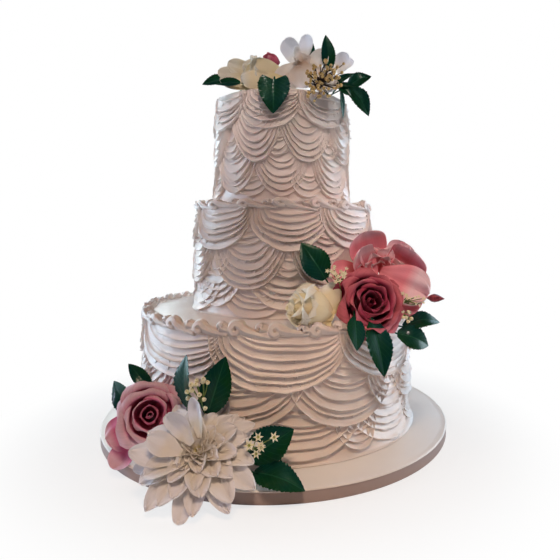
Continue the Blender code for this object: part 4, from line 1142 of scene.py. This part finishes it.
def moulded(name, light, dark, eye):
    """Moulded vinyl, dusted with colour in patches, darker in its eye, softly shiny."""
    material, tree, shader = start_material(name, Roughness=0.45, IOR=1.48, Subsurface_Weight=0.2,
                                            Subsurface_Radius=(1.5 * MM, 1.2 * MM, 0.9 * MM), Subsurface_Scale=1.0)
    coords = add_node(tree, "ShaderNodeTexCoord")
    dust = add_node(tree, "ShaderNodeTexNoise", {"Vector": coords.outputs["Object"], "Scale": 1 / (2 * MM), "Detail": 2.0})
    body = add_node(tree, "ShaderNodeValToRGB", {"Fac": dust.outputs["Fac"]})
    body.color_ramp.elements[0].position = 0.35
    body.color_ramp.elements[0].color = colour(dark)
    body.color_ramp.elements[1].position = 0.65
    body.color_ramp.elements[1].color = colour(light)
    throat = add_node(tree, "ShaderNodeAttribute", attribute_name="eye")
    mixed = add_node(tree, "ShaderNodeMix", {"Factor": throat.outputs["Fac"], "A": body.outputs["Color"], "B": colour(eye)},
                     data_type="RGBA")
    tree.links.new(mixed.outputs["Result"], shader.inputs["Base Color"])
    relief = add_node(tree, "ShaderNodeBump", {"Height": dust.outputs["Fac"], "Strength": 0.2, "Distance": 0.2 * MM})
    tree.links.new(relief.outputs["Normal"], shader.inputs["Normal"])
    return material


def stem_green(name, light, dark):
    """Green-dipped wire: thin, matt, blotched where the dip ran."""
    material, tree, shader = start_material(name, Roughness=0.5, IOR=1.5)
    coords = add_node(tree, "ShaderNodeTexCoord")
    dip = add_node(tree, "ShaderNodeTexNoise", {"Vector": coords.outputs["Object"], "Scale": 1 / (6 * MM)})
    tint = add_node(tree, "ShaderNodeValToRGB", {"Fac": dip.outputs["Fac"]})
    tint.color_ramp.elements[0].position = 0.35
    tint.color_ramp.elements[0].color = colour(dark)
    tint.color_ramp.elements[1].position = 0.65
    tint.color_ramp.elements[1].color = colour(light)
    tree.links.new(tint.outputs["Color"], shader.inputs["Base Color"])
    return material


def sprig_tree():
    """Turns a skeleton of edges into round stems, and sets a head on every marked point."""
    tree = bpy.data.node_groups.new("heads on wired stems", "GeometryNodeTree")
    set_input(tree, "Geometry", "Skeleton")
    set_input(tree, "Object", "Head")
    set_input(tree, "Material", "Wire")
    set_input(tree, "Material", "Vinyl")
    set_input(tree, "Float", "Wire radius", 0.0)
    tree.interface.new_socket("Sprig", in_out="OUTPUT", socket_type="NodeSocketGeometry")
    given = add_node(tree, "NodeGroupInput").outputs
    line = add_node(tree, "GeometryNodeMeshToCurve", {"Mesh": given["Skeleton"]})
    section = add_node(tree, "GeometryNodeCurvePrimitiveCircle", {"Resolution": 6, "Radius": given["Wire radius"]})
    wire = add_node(tree, "GeometryNodeCurveToMesh", {"Curve": line.outputs[0], "Profile Curve": section.outputs[0],
                                                      "Fill Caps": True})
    dipped = add_node(tree, "GeometryNodeSetMaterial", {"Geometry": wire.outputs[0], "Material": given["Wire"]})
    size = add_node(tree, "GeometryNodeInputNamedAttribute", {"Name": "size"}, data_type="FLOAT_VECTOR")
    turned = add_node(tree, "GeometryNodeInputNamedAttribute", {"Name": "turned"}, data_type="FLOAT_VECTOR")
    marked = add_node(tree, "GeometryNodeInputNamedAttribute", {"Name": "head"}, data_type="BOOLEAN")
    head = add_node(tree, "GeometryNodeObjectInfo", {"Object": given["Head"]})
    laid = add_node(tree, "GeometryNodeInstanceOnPoints", {
        "Points": given["Skeleton"], "Selection": marked.outputs["Attribute"], "Instance": head.outputs["Geometry"],
        "Rotation": turned.outputs["Attribute"], "Scale": size.outputs["Attribute"]})
    real = add_node(tree, "GeometryNodeRealizeInstances", {"Geometry": laid.outputs["Instances"]})
    vinyl = add_node(tree, "GeometryNodeSetMaterial", {"Geometry": real.outputs[0], "Material": given["Vinyl"]})
    joined = add_node(tree, "GeometryNodeJoinGeometry")
    tree.links.new(vinyl.outputs[0], joined.inputs[0])
    tree.links.new(dipped.outputs[0], joined.inputs[0])
    smooth = add_node(tree, "GeometryNodeSetShadeSmooth", {"Geometry": joined.outputs[0]})
    add_node(tree, "NodeGroupOutput", {"Sprig": smooth.outputs[0]})
    return tree


def head_object(name, vertices, faces, eye_count):
    """A head for the sprigs; its last or first points, the eye, are marked for a darker colour."""
    mesh = bpy.data.meshes.new(name)
    mesh.from_pydata(vertices, [], faces)
    marks = [1.0 if (eye_count > 0 and at < eye_count) or (eye_count < 0 and at >= len(vertices) + eye_count) else 0.0
             for at in range(len(vertices))]
    mesh.attributes.new("eye", "FLOAT", "POINT").data.foreach_set("value", marks)
    return bpy.data.objects.new(name, mesh)


bud_head = head_object("bud", *bud_template(), -1)
star_head = head_object("star", *star_template(6), 25)
tuft_head = head_object("tuft", *star_template(5), 1)
cream_vinyl = moulded("cream vinyl buds", "#F6EFD2", "#E6D9A8", "#A89A5C")
star_vinyl = moulded("white vinyl stars", "#F8F3DC", "#EFE6C0", "#8C9838")
gold_vinyl = moulded("gold dusted berries", "#EBD49A", "#C9A765", "#9A7A3C")
green_wire = stem_green("green dipped wire", "#8AA052", "#4C6A2C")
dark_wire = stem_green("dark dipped wire", "#3A2E20", "#241A14")
sprig_growth = sprig_tree()

SPRIGS = [
    Sprig("sprig_foot_berry", (-52, -172, 64), [(-57, -186, 100), (-51, -187, 101.5), (-47.5, -186, 98.5), (-66, -184, 89.5),
          (-61.5, -185, 91.5), (-54.5, -187, 88), (-49.5, -186, 76), (-66, -180, 82.5), (-51, -184, 83)], 3, bud_head, 2.2,
          (cream_vinyl, green_wire), "berry_cream"),
    Sprig("sprig_foot_star", (-14, -182, 36), [(-1, -203, 58), (12.3, -203, 58), (-8.7, -202, 50.5), (-2.4, -204, 44.5)], 2,
          star_head, 5.2, (star_vinyl, green_wire), "filler_star"),
    Sprig("sprig_ledge_1", (72, -124, 170), [(57.5, -137, 193), (67, -138, 187), (76, -136, 195.5), (63, -137, 191),
          (72, -137, 191), (66, -139, 183)], 14, tuft_head, 2.8, (cream_vinyl, green_wire), "berry_cream"),
    Sprig("sprig_ledge_2", (126, -108, 156), [(134, -119, 169.5), (138, -120, 164.5), (133, -120, 162.5), (150, -119, 166.5),
          (155, -119, 160.5), (151, -120, 157.5)], 8, tuft_head, 2.4, (cream_vinyl, green_wire), "berry_cream"),
    Sprig("sprig_ledge_3", (128, -108, 150), [(134, -117, 151), (141, -118, 150), (138, -118, 145), (143, -118, 144),
          (135, -117, 145), (140, -117, 141)], 2, bud_head, 2.0, (cream_vinyl, green_wire), "berry_cream"),
    Sprig("sprig_top_gold", (48, -64, 390), [(36, -88, 376), (43, -88, 371), (49, -88, 376), (41, -88, 381), (47, -88, 384),
          (53, -88, 379), (38, -87, 387), (45, -84, 393), (51, -84, 391), (58, -82, 394), (43, -82, 400), (49, -82, 402),
          (39, -82, 396), (55, -82, 404), (60, -70, 402), (63, -70, 409), (68, -70, 413), (75, -70, 417), (68, -70, 401),
          (61, -70, 415), (73, -70, 407), (53, -84, 386), (34, -84, 391), (47, -86, 388), (58, -78, 400)],
          60, bud_head, 1.9, (gold_vinyl, dark_wire), "berry_gold"),
]
for number, sprig in enumerate(SPRIGS):
    source = np.random.default_rng(70 + number)
    root = Vector(sprig.root) * MM
    heads = [Vector(spot) * MM for spot in sprig.heads]
    middle = sum(heads, Vector()) / len(heads)
    reach = [max(abs(head[axis] - middle[axis]) for head in heads) + 2 * MM for axis in range(3)]
    for _ in range(sprig.extra):
        way = Vector(source.normal(size=3)).normalized()
        way.y = -abs(way.y)
        heads.append(middle + Vector([w * r * s for w, r, s in zip(way, reach, source.uniform(0.55, 0.92, 3))]))
    fork = root.lerp(sum(heads, Vector()) / len(heads), 0.5)
    points, edges, marks, sizes, turns = [root, fork], [(0, 1)], [False, False], [(0, 0, 0)] * 2, [(0, 0, 0)] * 2
    for spot in heads:
        bend = fork.lerp(spot, 0.55) + Vector(source.normal(scale=1.2 * MM, size=3))
        neck = spot - (spot - bend).normalized() * sprig.size * MM * 0.8
        edges += [(1, len(points)), (len(points), len(points) + 1)]
        points += [bend, neck, spot]
        marks += [False, False, True]
        scale = sprig.size * MM * source.uniform(0.8, 1.15)
        sizes += [(0, 0, 0)] * 2 + [(scale, scale, scale * source.uniform(0.9, 1.1))]
        look = (spot - bend).normalized() + Vector((0, -0.9, 0.25)) + Vector(source.normal(scale=0.25, size=3))
        turns += [(0, 0, 0)] * 2 + [tuple(look.to_track_quat("Z", "Y").to_euler())]
    mesh = bpy.data.meshes.new(sprig.node)
    mesh.from_pydata([tuple(p) for p in points], edges, [])
    mesh.attributes.new("head", "BOOLEAN", "POINT").data.foreach_set("value", marks)
    mesh.attributes.new("size", "FLOAT_VECTOR", "POINT").data.foreach_set("vector", np.array(sizes).ravel())
    mesh.attributes.new("turned", "FLOAT_VECTOR", "POINT").data.foreach_set("vector", np.array(turns).ravel())
    grown = bpy.data.objects.new(sprig.node + "_heads", mesh)
    bpy.context.scene.collection.objects.link(grown)
    grow(grown, sprig_growth, {"Head": sprig.kind, "Vinyl": sprig.material[0], "Wire": sprig.material[1],
                               "Wire radius": 0.45 * MM})
    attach(grown, "root")
    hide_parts(sprig.node)

# ---------------------------------------------------------------------------------------------
# Floor, lights and camera. A plain pale floor that fades into a white surround; a broad soft
# window behind on each side, a weak lamp above, and dim warm room light everywhere else.

FLOOR_REACH = 8.0
FADE_START = 0.19
FADE_END = 0.34


def add_light(name, place, target, size, power, tint, spread=180):
    lamp = bpy.data.lights.new(name, "AREA")
    lamp.shape = "RECTANGLE"
    lamp.size, lamp.size_y = size
    lamp.energy = power
    lamp.color = colour(tint)[:3]
    lamp.spread = math.radians(spread)
    light = bpy.data.objects.new(name, lamp)
    light.location = place
    light.rotation_euler = (Vector(target) - Vector(place)).to_track_quat("-Z", "Y").to_euler()
    bpy.context.scene.collection.objects.link(light)


floor_paint, tree, shader = start_material("pale studio floor", Roughness=0.9)
shader.inputs["Base Color"].default_value = colour("#F7F4F2")
coords = add_node(tree, "ShaderNodeTexCoord")
away = add_node(tree, "ShaderNodeVectorMath", {0: coords.outputs["Object"]}, operation="LENGTH")
fade = add_node(tree, "ShaderNodeMapRange", {"Value": away.outputs["Value"], "From Min": FADE_START, "From Max": FADE_END,
                                                "To Min": 0.7, "To Max": 1.0},
                interpolation_type="SMOOTHSTEP")
ray = add_node(tree, "ShaderNodeLightPath")
share = add_node(tree, "ShaderNodeMath", {0: fade.outputs[0], 1: ray.outputs["Is Camera Ray"]}, operation="MULTIPLY")
glow = add_node(tree, "ShaderNodeEmission", {"Color": (1, 1, 1, 1), "Strength": 1.0})
faded = add_node(tree, "ShaderNodeMixShader", {0: share.outputs[0], 1: shader.outputs[0], 2: glow.outputs[0]})
tree.links.new(faded.outputs[0], tree.nodes["Material Output"].inputs["Surface"])
corners = [(-FLOOR_REACH, -FLOOR_REACH, 0), (FLOOR_REACH, -FLOOR_REACH, 0), (FLOOR_REACH, FLOOR_REACH, 0), (-FLOOR_REACH, FLOOR_REACH, 0)]
floor = add_piece("floor", corners, [(0, 1, 2, 3)], floor_paint)

cake_middle = (0, 0, 0.2)
add_light("left_window", (-1.6, 0.4, 0.4), cake_middle, (0.8, 1.0), 20, "#D4EDFF")
add_light("left_back_window", (-1.05, 1.45, 0.7), cake_middle, (1.1, 1.2), 13, "#E7FAFF")
add_light("right_window", (1.6, 0.4, 0.4), cake_middle, (0.8, 1.0), 17, "#E3F2FF")
add_light("right_back_window", (1.0, 1.4, 0.7), cake_middle, (1.0, 1.1), 12, "#C9E8FF")
add_light("table_lamp", (0.1, -0.9, 1.3), (0.05, -0.28, 0.0), (0.3, 0.3), 0.46, "#FFDFC1", 35)

add_light("foot_flower_lamp", (-0.95, -0.45, 0.35), (-0.125, -0.18, 0.06), (0.7, 0.7), 0.20, "#E4E2FF", 9)
add_light("top_flower_lamp", (0.05, -0.75, 1.10), (-0.01, -0.04, 0.47), (0.3, 0.3), 0.10, "#FFECE4", 8)
add_light("ledge_flower_lamp", (0.45, -0.75, 0.75), (0.128, -0.08, 0.218), (0.2, 0.2), 0.04, "#FFE6E2", 6)

world = bpy.data.worlds.new("studio")
world.use_nodes = True
bpy.context.scene.world = world
tree = world.node_tree
room = tree.nodes["Background"]
room.inputs["Color"].default_value = colour("#FFB9B0")
room.inputs["Strength"].default_value = 0.05
white = add_node(tree, "ShaderNodeBackground", {"Color": (1, 1, 1, 1), "Strength": 1.0})
ray = add_node(tree, "ShaderNodeLightPath")
seen = add_node(tree, "ShaderNodeMixShader", {0: ray.outputs["Is Camera Ray"], 1: room.outputs[0], 2: white.outputs[0]})
tree.links.new(seen.outputs[0], tree.nodes["World Output"].inputs["Surface"])

bpy.context.scene.view_settings.view_transform = "Standard"

view = bpy.data.cameras.new("camera")
view.sensor_width = 36
view.lens = 32.28
view.shift_x = -0.0675
view.shift_y = -0.0886
view.clip_start = 0.01
camera = bpy.data.objects.new("camera", view)
camera.location = (0.0478, -0.6254, 0.2324)
camera.rotation_euler = (math.radians(90), math.radians(-0.47), 0)
bpy.context.scene.collection.objects.link(camera)
bpy.context.scene.camera = camera
